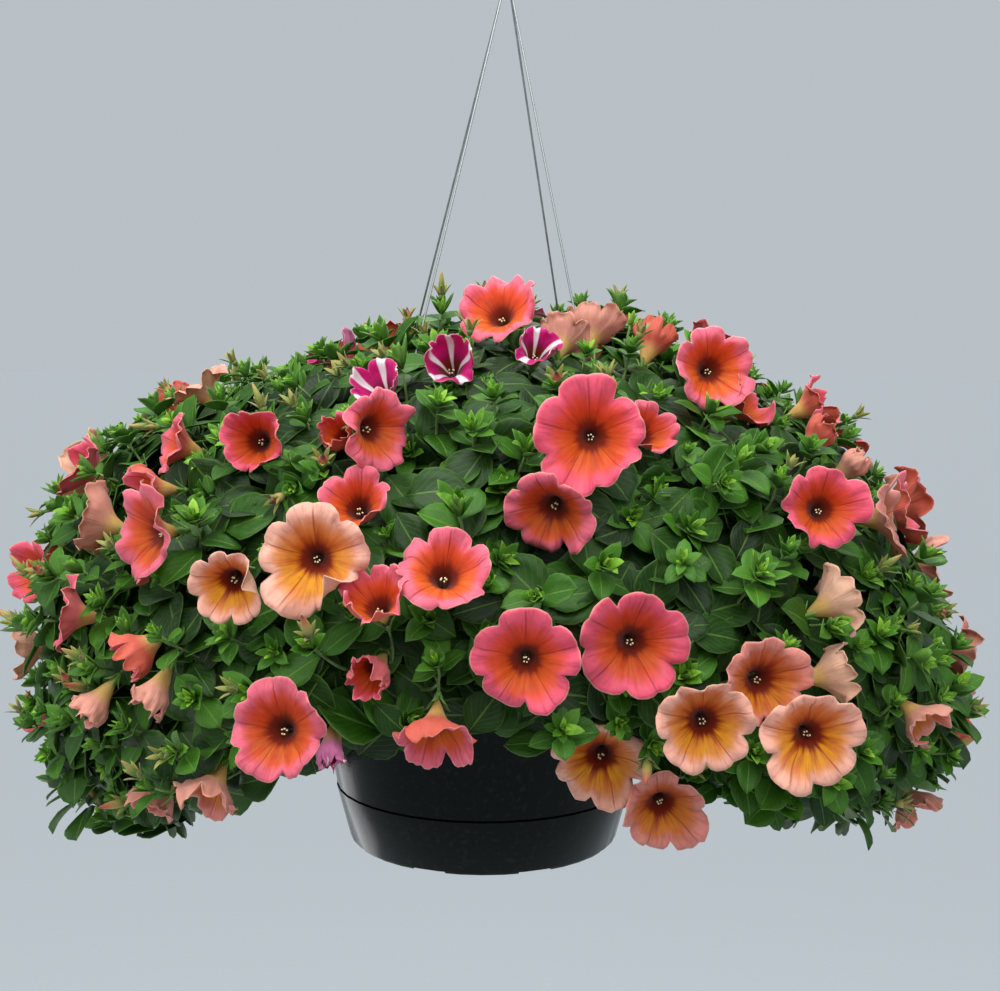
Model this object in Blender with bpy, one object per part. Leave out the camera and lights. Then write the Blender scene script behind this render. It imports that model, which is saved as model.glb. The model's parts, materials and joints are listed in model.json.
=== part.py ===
"""Petunia hanging basket: a plastic pot on a clipped-on drip saucer, hung from a wire hook by four
steel strands, with four petunia plants whose leaves and blooms make a wide dome over the pot.

The origin is the point the hook hangs from. +Z is up, and the side that faces a viewer is -Y.
Lengths are in metres. Heights called "above the base" are measured up from the saucer's foot ring.
"""

import math

import bmesh
import bpy
from mathutils import Matrix, Vector

# ---------------------------------------------------------------- driving dimensions
GAP = 0.0003  # clearance between two pieces that touch
HANG_HEIGHT = 0.612  # from the foot ring up to the point the hook hangs from
POT_OFFSET_X = -0.0125  # the plants grew heavier to +X, so the pot hangs a little to -X
TURN_STEPS = 40  # facets round the pot and the saucer

POT_HEIGHT = 0.151
POT_WALL = 0.0016
POT_TAPER = 0.197  # outward lean of the wall for each metre of height
POT_BASE_RADIUS = 0.0896  # where the line of the wall would meet the foot's height
RIM_RADIUS = 0.1285
RIM_DROP = 0.012  # height of the turned-down lip
STRAND_HOLE_RING = 0.1235
STRAND_HOLE_RADIUS = 0.0017
DRAIN_HOLE_RADIUS = 0.004
DRAIN_HOLE_COUNT = 6

SAUCER_HEIGHT = 0.037
SAUCER_FOOT_RADIUS = 0.0868
SAUCER_FLOOR = 0.003
FOOT_RING_WIDTH = 0.008
FOOT_NOTCH_WIDTH = 0.022
FOOT_NOTCH_DEPTH = 0.0013

SOIL_TOP = 0.131

STRAND_RADIUS = 0.0007
STRAND_AZIMUTHS = {  # seen from the pot's own axis
    "rear_right": 49.5,
    "rear_left": 139.5,
    "front_left": 229.5,
    "front_right": 319.5,
}
HOOK_WIRE_RADIUS = 0.0015
HOOK_INNER_RADIUS = 0.011
FERRULE_TOP = 0.575  # above the base
FERRULE_LENGTH = 0.022
FERRULE_OUTER = 0.0044
FERRULE_BORE = 0.0035

# The leaf dome, one value for each 45 degrees of azimuth from +X round to +Y.
DOME_RADIUS = (0.302, 0.297, 0.286, 0.297, 0.310, 0.300, 0.285, 0.293)
DOME_TOP = (0.353, 0.348, 0.342, 0.330, 0.320, 0.330, 0.344, 0.351)
DOME_SQUARENESS = (2.0, 2.2, 2.4, 2.7, 3.0, 2.7, 2.4, 2.1)
DOME_HEM = (0.000, 0.030, 0.045, 0.020, -0.005, 0.062, 0.124, 0.062)
DOME_WAIST = (0.100, 0.100, 0.100, 0.100, 0.100, 0.110, 0.155, 0.120)  # the widest ring's height
DOME_CENTRE_TOP = 0.356
DOME_HUMP = 0.070  # how far from the axis the centre's extra height reaches
HEM_TUCK = 0.20  # how far the hem draws in, as a part of the radius
LEAF_DEPTH = 0.050  # thickness of the leafy layer
CLUMP_SPACING = 0.0006  # half the space between neighbouring clumps
STRAND_SPACING = 0.0024  # half the space that a strand passes through
CROWN_START = 0.02  # the crown clumps begin this far along the profile
CROWN_TO_SKIRT = 0.62  # where the crown clumps end and the skirt begins, along the profile

# ---------------------------------------------------------------- blooms
# azimuth and height above the base (mm) of the spot it grows from, how far it stands off it (mm),
# facing azimuth and elevation, mouth diameter (mm), tone
BLOOMS = (
    # the side that faces the viewer, from the top down
    (267, 340, 12, 250, 40, 56, "coral"),
    (259, 320, 2, 262, 30, 40, "star"),
    (312, 310, 8, 283, 12, 54, "coral"),
    (254, 285, 2, 315, 0, 46, "coral"),
    (280, 276, 14, 272, 5, 60, "rose"),
    (237, 273, 8, 256, 5, 44, "rose"),
    (275, 249, -8, 255, -20, 52, "coral"),
    (311, 240, 8, 276, 14, 50, "rose"),
    (330, 230, 2, 345, 10, 52, "salmon"),
    (211, 230, -4, 170, 15, 50, "salmon"),
    (229, 224, 14, 218, 0, 58, "coral"),
    (264, 222, 10, 275, 40, 50, "coral"),
    (251, 220, 16, 268, 5, 60, "peach"),
    (242, 206, 12, 264, -12, 44, "peach"),
    (283, 185, 6, 277, 4, 56, "rose"),
    (213, 177, 4, 190, 10, 46, "rose"),
    (272, 177, 10, 268, 0, 56, "rose"),
    (298, 160, -4, 285, 0, 52, "salmon"),
    (289, 147, 17, 272, 0, 54, "peach"),
    (263, 142, 10, 265, -45, 48, "coral"),
    (248, 141, 10, 258, 12, 54, "coral"),
    (301, 133, 14, 276, -2, 58, "peach"),
    (282, 119, 6, 262, -10, 54, "peach"),
    (323, 118, 4, 318, -35, 46, "salmon"),
    (290, 109, 22, 276, -14, 48, "salmon"),
    (236, 92, 2, 235, -50, 48, "salmon"),
    (348, 34, 2, 330, -50, 46, "salmon"),
    # round the sides and the back
    (5, 215, 10, 5, 10, 56, "coral"),
    (28, 120, 10, 30, -8, 54, "peach"),
    (48, 265, 8, 45, 25, 56, "rose"),
    (75, 170, 10, 72, 0, 58, "coral"),
    (100, 290, 8, 98, 35, 54, "peach"),
    (122, 190, 10, 125, 5, 56, "salmon"),
    (150, 115, 10, 152, -10, 54, "coral"),
    (172, 235, 8, 170, 15, 56, "peach"),
)
BLOOM_DEPTH = 0.026
BLOOM_STEPS = 10  # a lobe and a notch for each of five petals
POCKET_CLEARANCE = 0.0016
POCKET_REACH = 0.030  # how far in front of the mouth the leaves are cleared

# direction from the pot's axis, and how many shoots the plant sends out under the leaves
PLANTS = {"front": (270, 6), "left": (181, 6), "back": (93, 6), "right": (0, 6)}
PLANT_RING = 0.048
PLANT_SPREAD = 62  # degrees from a plant's first shoot to its last
SHOOT_RADIUS = 0.0026

COLOURS = {
    "pot_plastic": ((0.010, 0.014, 0.012), 0.28, 0.0),
    "galvanised_wire": ((0.50, 0.51, 0.52), 0.38, 0.9),
    "ferrule_aluminium": ((0.62, 0.62, 0.63), 0.35, 1.0),
    "potting_mix": ((0.035, 0.024, 0.016), 0.95, 0.0),
    "stem": ((0.16, 0.30, 0.07), 0.55, 0.0),
    "leaf": ((0.035, 0.16, 0.035), 0.50, 0.0),
    "petal_coral": ((0.72, 0.08, 0.08), 0.50, 0.0),
    "petal_rose": ((0.74, 0.10, 0.14), 0.50, 0.0),
    "petal_peach": ((0.78, 0.30, 0.18), 0.50, 0.0),
    "petal_salmon": ((0.62, 0.17, 0.12), 0.50, 0.0),
    "petal_star": ((0.60, 0.02, 0.22), 0.50, 0.0),
}

POT_AXIS = Vector((POT_OFFSET_X, 0.0, -HANG_HEIGHT))
DOME_AXIS = Vector((0.0, 0.0, -HANG_HEIGHT))


# ---------------------------------------------------------------- helpers
def clear_scene():
    for obj in list(bpy.data.objects):
        bpy.data.objects.remove(obj, do_unlink=True)


def material(name):
    found = bpy.data.materials.get(name)
    if found:
        return found
    colour, roughness, metallic = COLOURS[name]
    made = bpy.data.materials.new(name)
    made.use_nodes = True
    shader = made.node_tree.nodes["Principled BSDF"]
    shader.inputs["Base Color"].default_value = (*colour, 1.0)
    shader.inputs["Roughness"].default_value = roughness
    shader.inputs["Metallic"].default_value = metallic
    return made


def object_from(bm, name, material_name=None, smooth=True):
    """Turns a finished bmesh into an object in the scene."""
    bmesh.ops.recalc_face_normals(bm, faces=bm.faces[:])
    mesh = bpy.data.meshes.new(name)
    bm.to_mesh(mesh)
    bm.free()
    if smooth:
        mesh.shade_smooth()
        mesh.set_sharp_from_angle(angle=math.radians(40))
    obj = bpy.data.objects.new(name, mesh)
    bpy.context.scene.collection.objects.link(obj)
    if material_name:
        mesh.materials.append(material(material_name))
    return obj


def turned(profile, steps):
    """A bmesh of a closed profile of (radius, height) points turned round Z."""
    bm = bmesh.new()
    points = [bm.verts.new((radius, 0.0, height)) for radius, height in profile]
    edges = [bm.edges.new(pair) for pair in zip(points, points[1:])]
    bmesh.ops.spin(
        bm,
        geom=points + edges,
        cent=(0, 0, 0),
        axis=(0, 0, 1),
        angle=math.tau,
        steps=steps,
        use_merge=True,
    )
    bmesh.ops.remove_doubles(bm, verts=bm.verts[:], dist=1e-6)
    return bm


def as_cutter(obj):
    obj.hide_render = True
    obj.display_type = "WIRE"
    return obj


def cut(obj, cutter):
    modifier = obj.modifiers.new(cutter.name, "BOOLEAN")
    modifier.operation = "DIFFERENCE"
    modifier.solver = "EXACT"
    modifier.object = cutter


def wire(name, points, radius, material_name, sides_resolution):
    """A round bar along a list of points, with closed ends."""
    curve = bpy.data.curves.new(name, "CURVE")
    curve.dimensions = "3D"
    curve.bevel_depth = radius
    curve.bevel_resolution = sides_resolution
    curve.use_fill_caps = True
    spline = curve.splines.new("POLY")
    spline.points.add(len(points) - 1)
    for point, place in zip(spline.points, points):
        point.co = (*place, 1.0)
    obj = bpy.data.objects.new(name, curve)
    bpy.context.scene.collection.objects.link(obj)
    curve.materials.append(material(material_name))
    return obj


def rounded_route(corners, radius, steps):
    """The points of a polyline with each inner corner replaced by a short curve."""
    points = [corners[0]]
    for before, corner, after in zip(corners, corners[1:], corners[2:]):
        reach = min(radius, (before - corner).length * 0.45, (after - corner).length * 0.45)
        start = corner + (before - corner).normalized() * reach
        end = corner + (after - corner).normalized() * reach
        for step in range(steps + 1):
            t = step / steps
            points.append(start * (1 - t) ** 2 + corner * 2 * t * (1 - t) + end * t * t)
    points.append(corners[-1])
    return points


def direction(azimuth, elevation=0.0):
    """The unit vector at an azimuth and an elevation given in degrees."""
    around, up = math.radians(azimuth), math.radians(elevation)
    return Vector((math.cos(up) * math.cos(around), math.cos(up) * math.sin(around), math.sin(up)))


# ---------------------------------------------------------------- pot, saucer, soil
def wall_radius(height):
    return POT_BASE_RADIUS + POT_TAPER * height


def upright_cylinder(name, radius, centre, height, steps=8):
    bm = bmesh.new()
    bmesh.ops.create_cone(
        bm,
        cap_ends=True,
        segments=steps,
        radius1=radius,
        radius2=radius,
        depth=height,
        matrix=Matrix.Translation(centre),
    )
    return as_cutter(object_from(bm, name, smooth=False))


def make_pot():
    """Outside up from the base, over the turned-down rim, and down the inside again."""
    seat = SAUCER_HEIGHT + 2 * GAP
    under_rim = POT_HEIGHT - POT_WALL
    lip_bottom = POT_HEIGHT - RIM_DROP
    base = SAUCER_FLOOR + POT_WALL
    inside = base + POT_WALL
    profile = (
        (0.0, base),
        (0.0832, base),
        (0.0865, base + 0.003),
        (0.0950, seat),
        (wall_radius(seat), seat),
        (wall_radius(under_rim), under_rim),
        (RIM_RADIUS - 0.0014, under_rim),
        (RIM_RADIUS - 0.0014, lip_bottom),
        (RIM_RADIUS, lip_bottom),
        (RIM_RADIUS, POT_HEIGHT - 0.0008),
        (RIM_RADIUS - 0.0008, POT_HEIGHT),
        (wall_radius(POT_HEIGHT) - POT_WALL, POT_HEIGHT),
        (wall_radius(seat) - POT_WALL, seat + POT_WALL),
        (0.0934, seat + 0.0004),
        (0.0851, inside + 0.003),
        (0.0820, inside),
        (0.0, inside),
    )
    pot = object_from(turned(profile, TURN_STEPS), "pot", "pot_plastic")
    pot.location = POT_AXIS
    for name, azimuth in STRAND_AZIMUTHS.items():
        centre = POT_AXIS + direction(azimuth) * STRAND_HOLE_RING + Vector((0, 0, POT_HEIGHT))
        cut(pot, upright_cylinder("hole_" + name, STRAND_HOLE_RADIUS, centre, 0.008))
    for index in range(DRAIN_HOLE_COUNT):
        azimuth = 360 * index / DRAIN_HOLE_COUNT
        centre = POT_AXIS + direction(azimuth) * 0.055 + Vector((0, 0, base))
        cut(pot, upright_cylinder(f"drain_{index}", DRAIN_HOLE_RADIUS, centre, 0.010))


def make_saucer():
    """A shallow tray that snaps over the pot's foot and stands on a notched ring."""
    recess = 0.0014
    ring_inner = SAUCER_FOOT_RADIUS - FOOT_RING_WIDTH
    profile = (
        (0.0, recess),
        (ring_inner, recess),
        (ring_inner, 0.0),
        (SAUCER_FOOT_RADIUS, 0.0),
        (0.0886, 0.0022),
        (0.0976, SAUCER_HEIGHT - 0.0006),
        (0.0971, SAUCER_HEIGHT),
        (0.0961, SAUCER_HEIGHT),
        (0.0878, 0.0040),
        (0.0862, SAUCER_FLOOR),
        (0.0, SAUCER_FLOOR),
    )
    saucer = object_from(turned(profile, TURN_STEPS), "drip_saucer", "pot_plastic")
    saucer.location = POT_AXIS
    for index in range(4):
        bm = bmesh.new()
        bmesh.ops.create_cube(bm, size=1.0)
        size = Vector((0.24, FOOT_NOTCH_WIDTH, 2 * FOOT_NOTCH_DEPTH))
        bmesh.ops.scale(bm, vec=size, verts=bm.verts[:])
        bmesh.ops.rotate(
            bm,
            cent=(0, 0, 0),
            matrix=Matrix.Rotation(math.radians(22.5 + 45 * index), 3, "Z"),
            verts=bm.verts[:],
        )
        bmesh.ops.translate(bm, vec=POT_AXIS, verts=bm.verts[:])
        cut(saucer, as_cutter(object_from(bm, f"foot_notch_{index}", smooth=False)))


def make_soil():
    """The root ball fills the pot, with the same 0.3 mm gap to the wall all the way up."""
    bottom = SAUCER_FLOOR + 2 * POT_WALL + GAP
    profile = (
        (0.0, bottom),
        (0.0814, bottom),
        (0.0846, bottom + 0.004),
        (0.0930, SAUCER_HEIGHT + 0.0015),
        (wall_radius(SOIL_TOP) - POT_WALL - 3 * GAP, SOIL_TOP - 0.002),
        (wall_radius(SOIL_TOP) - POT_WALL - 0.003, SOIL_TOP),
        (0.0, SOIL_TOP),
    )
    soil = object_from(turned(profile, TURN_STEPS), "soil", "potting_mix")
    soil.location = POT_AXIS


# ---------------------------------------------------------------- hanger
def make_strands():
    """Each strand runs from the ferrule to a hole in the rim and ends in a small turned-up hook."""
    ring_in_ferrule = HOOK_WIRE_RADIUS + STRAND_RADIUS + GAP
    for name, azimuth in STRAND_AZIMUTHS.items():
        hole = POT_AXIS + direction(azimuth) * STRAND_HOLE_RING
        outward = Vector((hole.x, hole.y, 0.0)).normalized()
        along_rim = direction(azimuth + 90)
        top = DOME_AXIS + outward * ring_in_ferrule

        def at(place, height):
            return Vector((place.x, place.y, height - HANG_HEIGHT))

        corners = [
            at(top, FERRULE_TOP - 0.002),
            at(top, FERRULE_TOP - FERRULE_LENGTH - 0.0015),
            at(hole, POT_HEIGHT + 0.006),
            at(hole, POT_HEIGHT - 0.009),
            at(hole + along_rim * 0.0045, POT_HEIGHT - 0.009),
            at(hole + along_rim * 0.0045, POT_HEIGHT - 0.0035),
        ]
        points = rounded_route(corners, 0.004, 4)
        wire("hanger_wire_" + name, points, STRAND_RADIUS, "galvanised_wire", 1)


def make_hook():
    """A shank that rises from the ferrule, swings to one side and arches over the hanging point."""
    arch = HOOK_INNER_RADIUS + HOOK_WIRE_RADIUS
    ferrule_top = FERRULE_TOP - HANG_HEIGHT
    points = [
        Vector((0, 0, ferrule_top - FERRULE_LENGTH + 0.002)),
        Vector((0, 0, ferrule_top + 0.001)),
    ]
    swing_steps = 6
    swing_bottom, swing_top = ferrule_top + 0.001, -HOOK_INNER_RADIUS - 0.004
    for step in range(1, swing_steps + 1):
        t = step / swing_steps
        ease = (1 - math.cos(math.pi * t)) / 2
        points.append(Vector((arch * ease, 0, swing_bottom + (swing_top - swing_bottom) * t)))
    arch_steps = 14
    for step in range(arch_steps + 1):
        angle = math.pi * step / arch_steps
        points.append(
            Vector((arch * math.cos(angle), 0, -HOOK_INNER_RADIUS + arch * math.sin(angle)))
        )
    points.append(Vector((-arch - 0.0004, 0, -HOOK_INNER_RADIUS - 0.004)))
    points.append(Vector((-arch - 0.0020, 0, -HOOK_INNER_RADIUS - 0.0085)))
    points.append(Vector((-arch - 0.0045, 0, -HOOK_INNER_RADIUS - 0.0125)))
    wire("hanger_hook", points, HOOK_WIRE_RADIUS, "galvanised_wire", 2)


def make_ferrule():
    profile = (
        (FERRULE_BORE, 0.0),
        (FERRULE_OUTER - 0.0004, 0.0),
        (FERRULE_OUTER, 0.0006),
        (FERRULE_OUTER, FERRULE_LENGTH - 0.0006),
        (FERRULE_OUTER - 0.0004, FERRULE_LENGTH),
        (FERRULE_BORE, FERRULE_LENGTH),
        (FERRULE_BORE, 0.0),
    )
    ferrule = object_from(turned(profile, 20), "hanger_ferrule", "ferrule_aluminium")
    ferrule.location = Vector((0, 0, FERRULE_TOP - FERRULE_LENGTH - HANG_HEIGHT))


# ---------------------------------------------------------------- leaf dome
def round_the_dome(values, azimuth):
    """A value between the eight given ones, blended smoothly round the dome."""
    place = (azimuth % 360) / 45
    index = int(place) % 8
    blend = (1 - math.cos(math.pi * (place - int(place)))) / 2
    return values[index] * (1 - blend) + values[(index + 1) % 8] * blend


def dome_point(azimuth, along, depth=0.0):
    """A point of the dome. along is 0 at the crown, 1 at the widest ring and 2 at the hem, and
    depth is measured inwards from the outside of the leaves."""
    radius = round_the_dome(DOME_RADIUS, azimuth) - depth
    top = round_the_dome(DOME_TOP, azimuth) - depth
    square = 2 / round_the_dome(DOME_SQUARENESS, azimuth)
    waist = round_the_dome(DOME_WAIST, azimuth)
    lump = math.sin(math.radians(7 * azimuth)) * math.sin(5.3 * along)
    lump += 0.7 * math.sin(math.radians(11 * azimuth) + 9.1 * along)
    lump *= 0.0022
    if along <= 1:
        angle = along * math.pi / 2
        away = (radius + lump) * math.sin(angle) ** square
        height = waist + (top - waist) * math.cos(angle) ** square
        height += (DOME_CENTRE_TOP - depth - top) * math.exp(-((away / DOME_HUMP) ** 2))
    else:
        hem = round_the_dome(DOME_HEM, azimuth)
        away = (radius + lump) * (1 - HEM_TUCK * (along - 1) ** 2)
        height = waist + (hem - waist) * (along - 1)
    return DOME_AXIS + direction(azimuth) * away + Vector((0, 0, height))


def dome_outward(azimuth, along):
    step = 0.02
    across = dome_point(azimuth + 2, along) - dome_point(azimuth - 2, along)
    down = dome_point(azimuth, along + step) - dome_point(azimuth, along - step)
    return down.cross(across).normalized()


def along_at_height(azimuth, height, high_on_dome=0.02):
    """Where along the profile the dome passes a height above the base."""
    low, high = high_on_dome, 2.0
    for _ in range(40):
        middle = (low + high) / 2
        if dome_point(azimuth, middle).z + HANG_HEIGHT > height:
            low = middle
        else:
            high = middle
    return low


def make_clump(name, first_azimuth, last_azimuth, first_along, last_along, cells, spacing):
    """One clump of leafy shoots: a flat slab bent to its part of the dome."""
    around_cells, along_cells = cells
    bm = bmesh.new()
    bmesh.ops.create_grid(bm, x_segments=around_cells, y_segments=along_cells, size=0.5)
    raised = bmesh.ops.extrude_face_region(bm, geom=bm.faces[:])["geom"]
    lifted = [item for item in raised if isinstance(item, bmesh.types.BMVert)]
    bmesh.ops.translate(bm, vec=(0, 0, 1), verts=lifted)
    for vert in bm.verts:
        u, v, inwards = vert.co.x + 0.5, vert.co.y + 0.5, vert.co.z
        along = first_along + (last_along - first_along) * v
        middle = (first_azimuth + last_azimuth) / 2
        away = (dome_point(middle, along, LEAF_DEPTH * inwards) - DOME_AXIS).xy.length
        margin = math.degrees(math.asin(min(spacing / away, 0.7)))
        start, end = first_azimuth + margin, last_azimuth - margin
        vert.co = dome_point(start + (end - start) * u, along, LEAF_DEPTH * inwards)
    return object_from(bm, name, "leaf")


def strand_azimuth_on_dome(name):
    hole = POT_AXIS + direction(STRAND_AZIMUTHS[name]) * STRAND_HOLE_RING
    return math.degrees(math.atan2(hole.y, hole.x)) % 360


def make_leaves():
    """Four crown clumps with a strand between each two, and eight skirt clumps below them."""
    corners = [strand_azimuth_on_dome(name) for name in STRAND_AZIMUTHS]
    sides = ("back", "left", "front", "right")
    clumps = []
    for index, side in enumerate(sides):
        first = corners[index]
        last = corners[(index + 1) % 4] + (360 if index == 3 else 0)
        name = "leaves_crown_" + side
        clump = make_clump(name, first, last, CROWN_START, CROWN_TO_SKIRT, (6, 4), STRAND_SPACING)
        clumps.append(clump)
    compass = (
        "right",
        "back_right",
        "back",
        "back_left",
        "left",
        "front_left",
        "front",
        "front_right",
    )
    for index, side in enumerate(compass):
        first = 45 * index - 22.5
        name = "leaves_skirt_" + side
        start = CROWN_TO_SKIRT + 0.018
        clumps.append(make_clump(name, first, first + 45, start, 2.0, (3, 6), CLUMP_SPACING))
    return clumps


# ---------------------------------------------------------------- blooms
def bloom_profile(radius, grow=0.0, reach=0.0):
    """A funnel, mouth up at height 0. With reach, the space in front of the mouth is filled too."""
    depth = BLOOM_DEPTH
    outside = (
        (0.0, -depth - grow),
        (0.0040 + grow, -depth - grow),
        (0.36 * radius + grow, -0.40 * depth - grow),
        (radius + grow, -grow),
    )
    if reach:
        return outside + ((radius + grow + 0.2 * reach, reach), (0.0, reach))
    return outside + ((0.32 * radius, -0.26 * depth), (0.0, -0.72 * depth))


def place_bloom(obj, azimuth, height, stand_off, face):
    along = along_at_height(azimuth, height)
    mouth = dome_point(azimuth, along) + dome_outward(azimuth, along) * stand_off
    turn = face.to_track_quat("Z", "Y").to_matrix().to_4x4()
    obj.matrix_world = Matrix.Translation(mouth) @ turn


def make_blooms(clumps):
    """Each bloom is a five-lobed funnel set into a pocket that is cleared in the leaves."""
    pockets = bpy.data.collections.new("pockets")
    bpy.context.scene.collection.children.link(pockets)
    for index, row in enumerate(BLOOMS):
        azimuth, height, stand_off, face_azimuth, face_elevation, diameter, tone = row
        height, stand_off, radius = height / 1000, stand_off / 1000, diameter / 2000
        face = direction(face_azimuth, face_elevation)
        bm = turned(bloom_profile(radius), BLOOM_STEPS)
        for vert in bm.verts:
            turn = math.atan2(vert.co.y, vert.co.x)
            notch = 0.06 * (vert.co.xy.length / radius) ** 2 * (1 - math.cos(5 * turn)) / 2
            vert.co.xy *= 1 - notch
        bloom = object_from(bm, f"bloom_{index + 1:02d}", "petal_" + tone)
        place_bloom(bloom, azimuth, height, stand_off, face)
        bm = turned(bloom_profile(radius, POCKET_CLEARANCE, POCKET_REACH), 8)
        pocket = as_cutter(object_from(bm, f"pocket_{index + 1:02d}", smooth=False))
        place_bloom(pocket, azimuth, height, stand_off, face)
        bpy.context.scene.collection.objects.unlink(pocket)
        pockets.objects.link(pocket)
    for clump in clumps:
        modifier = clump.modifiers.new("pockets", "BOOLEAN")
        modifier.operation = "DIFFERENCE"
        modifier.solver = "EXACT"
        modifier.operand_type = "COLLECTION"
        modifier.collection = pockets


# ---------------------------------------------------------------- stems
def swept(points, radii, sides):
    """A tapering bar along a list of points: one cap is extruded from each point to the next."""
    bm = bmesh.new()
    tangent = (points[1] - points[0]).normalized()
    ring = bmesh.ops.create_circle(bm, cap_ends=True, segments=sides, radius=radii[0])["verts"]
    turn = tangent.to_track_quat("Z", "Y").to_matrix().to_4x4()
    bmesh.ops.transform(bm, matrix=Matrix.Translation(points[0]) @ turn, verts=ring)
    cap = bm.faces[:]
    for index in range(1, len(points)):
        passed = cap if index > 1 else []
        raised = bmesh.ops.extrude_face_region(bm, geom=cap)["geom"]
        bmesh.ops.delete(bm, geom=passed, context="FACES_ONLY")
        cap = [item for item in raised if isinstance(item, bmesh.types.BMFace)]
        ring = [item for item in raised if isinstance(item, bmesh.types.BMVert)]
        after = points[min(index + 1, len(points) - 1)]
        heading = (after - points[index - 1]).normalized()
        bend = tangent.rotation_difference(heading).to_matrix().to_4x4()
        grow = Matrix.Scale(radii[index] / radii[index - 1], 4)
        back = Matrix.Translation(-points[index - 1])
        place = Matrix.Translation(points[index])
        bmesh.ops.transform(bm, matrix=place @ bend @ grow @ back, verts=ring)
        tangent = heading
    return bm


def make_plant(side, facing, shoots):
    """A crown on the soil with shoots that arch over the rim to the underside of the leaves."""
    foot = POT_AXIS + direction(facing) * PLANT_RING + Vector((0, 0, SOIL_TOP + GAP))
    top = foot + Vector((0, 0, 0.016))
    stub = swept([foot, foot.lerp(top, 0.6), top], [0.0050, 0.0056, 0.0030], 8)
    stems = object_from(stub, "stems_" + side, "stem")
    start = foot.lerp(top, 0.6)
    for index in range(shoots):
        azimuth = facing + PLANT_SPREAD * (index / (shoots - 1) - 0.5)
        along = (0.34, 0.95, 0.62)[index % 3]
        end = dome_point(azimuth, along, LEAF_DEPTH + 0.009)
        lift = Vector((0, 0, 0.07 + 0.03 * (index % 2)))
        control = start.lerp(end, 0.45) + lift
        steps = 4
        points, radii = [], []
        for step in range(steps + 1):
            t = step / steps
            points.append(start * (1 - t) ** 2 + control * 2 * t * (1 - t) + end * t * t)
            radii.append(SHOOT_RADIUS * (1 - 0.45 * t))
        shoot = as_cutter(object_from(swept(points, radii, 5), f"shoot_{side}_{index}"))
        union = stems.modifiers.new(shoot.name, "BOOLEAN")
        union.operation = "UNION"
        union.solver = "EXACT"
        union.object = shoot


def main():
    clear_scene()
    make_pot()
    make_saucer()
    make_soil()
    make_strands()
    make_hook()
    make_ferrule()
    make_blooms(make_leaves())
    for side, (facing, shoots) in PLANTS.items():
        make_plant(side, facing, shoots)


main()
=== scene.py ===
"""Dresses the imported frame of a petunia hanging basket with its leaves, shoots, blooms and finishes.

The frame's origin is the point the hook hangs from, +Z is up and the viewer's side is -Y.
Lengths are in metres, angles in the tables in degrees and sizes in the tables in millimetres.
"""

import json
import math
import random
from collections import namedtuple
from functools import cache, partial
from itertools import product
from math import atan2, cos, degrees, exp, pi, radians, sin, tau

import bmesh
import bpy
import numpy as np
from bpy.props import FloatProperty, FloatVectorProperty, IntProperty, PointerProperty
from mathutils import Matrix, Vector, noise
from mathutils.kdtree import KDTree
from mathutils.bvhtree import BVHTree


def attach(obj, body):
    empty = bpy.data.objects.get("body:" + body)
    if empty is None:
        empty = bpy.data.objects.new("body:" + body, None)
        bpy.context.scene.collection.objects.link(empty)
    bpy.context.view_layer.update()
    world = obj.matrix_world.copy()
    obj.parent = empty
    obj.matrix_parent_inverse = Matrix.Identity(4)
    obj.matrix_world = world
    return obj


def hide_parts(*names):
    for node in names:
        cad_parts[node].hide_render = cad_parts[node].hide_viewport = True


bl_info = {
    "name": "Petunia Hanging Basket",
    "version": (1, 0, 0),
    "blender": (4, 5, 0),
    "location": "View3D > Sidebar > Hanging Basket",
    "description": "Grows leaves, shoots and blooms on a hanging basket and finishes its pot and hanger",
    "category": "Object",
}

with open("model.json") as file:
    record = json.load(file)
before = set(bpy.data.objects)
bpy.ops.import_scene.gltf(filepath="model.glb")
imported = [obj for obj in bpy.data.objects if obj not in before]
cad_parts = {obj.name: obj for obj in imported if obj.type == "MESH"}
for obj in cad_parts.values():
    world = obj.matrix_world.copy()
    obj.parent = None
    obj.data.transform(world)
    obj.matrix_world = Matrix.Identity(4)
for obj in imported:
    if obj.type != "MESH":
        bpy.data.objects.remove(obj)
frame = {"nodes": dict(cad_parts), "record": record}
CAD = frame["nodes"]

BASE = -0.612  # height of the saucer's foot ring
HEART = Vector((0.0, 0.0, BASE + 0.150))  # middle of the plant's dome
MM = 0.001
PETAL_STEPS = 60
PETAL_ROWS = 14
PETAL_THICKNESS = 0.0003
LOBES = 5
TUBE_END = -0.026  # how far the flower's tube runs back from its mouth
USUAL_RADIUS = 0.027  # of an open flower
VIEW_REACH = 0.09  # how far the view into a flower is kept clear of leaves
UP = Vector((0.0, 0.0, 1.0))
SIDES = (("front", 270.0), ("left", 180.0), ("back", 90.0), ("right", 0.0))


def cad_names(kind):
    return sorted(name for name in CAD if name.startswith(kind))


def linear(hex_colour):
    """A #rrggbb sRGB colour as linear red, green, blue and alpha; one that is linear already stays as it is."""
    if not isinstance(hex_colour, str):
        return hex_colour
    parts = [int(hex_colour[i : i + 2], 16) / 255 for i in (1, 3, 5)]
    return tuple(c / 12.92 if c <= 0.04045 else ((c + 0.055) / 1.055) ** 2.4 for c in parts) + (1.0,)


def colour_property(name, hex_colour, description):
    return FloatVectorProperty(name=name, description=description, default=linear(hex_colour), size=4,
        subtype="COLOR", min=0.0, max=1.0)


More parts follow.
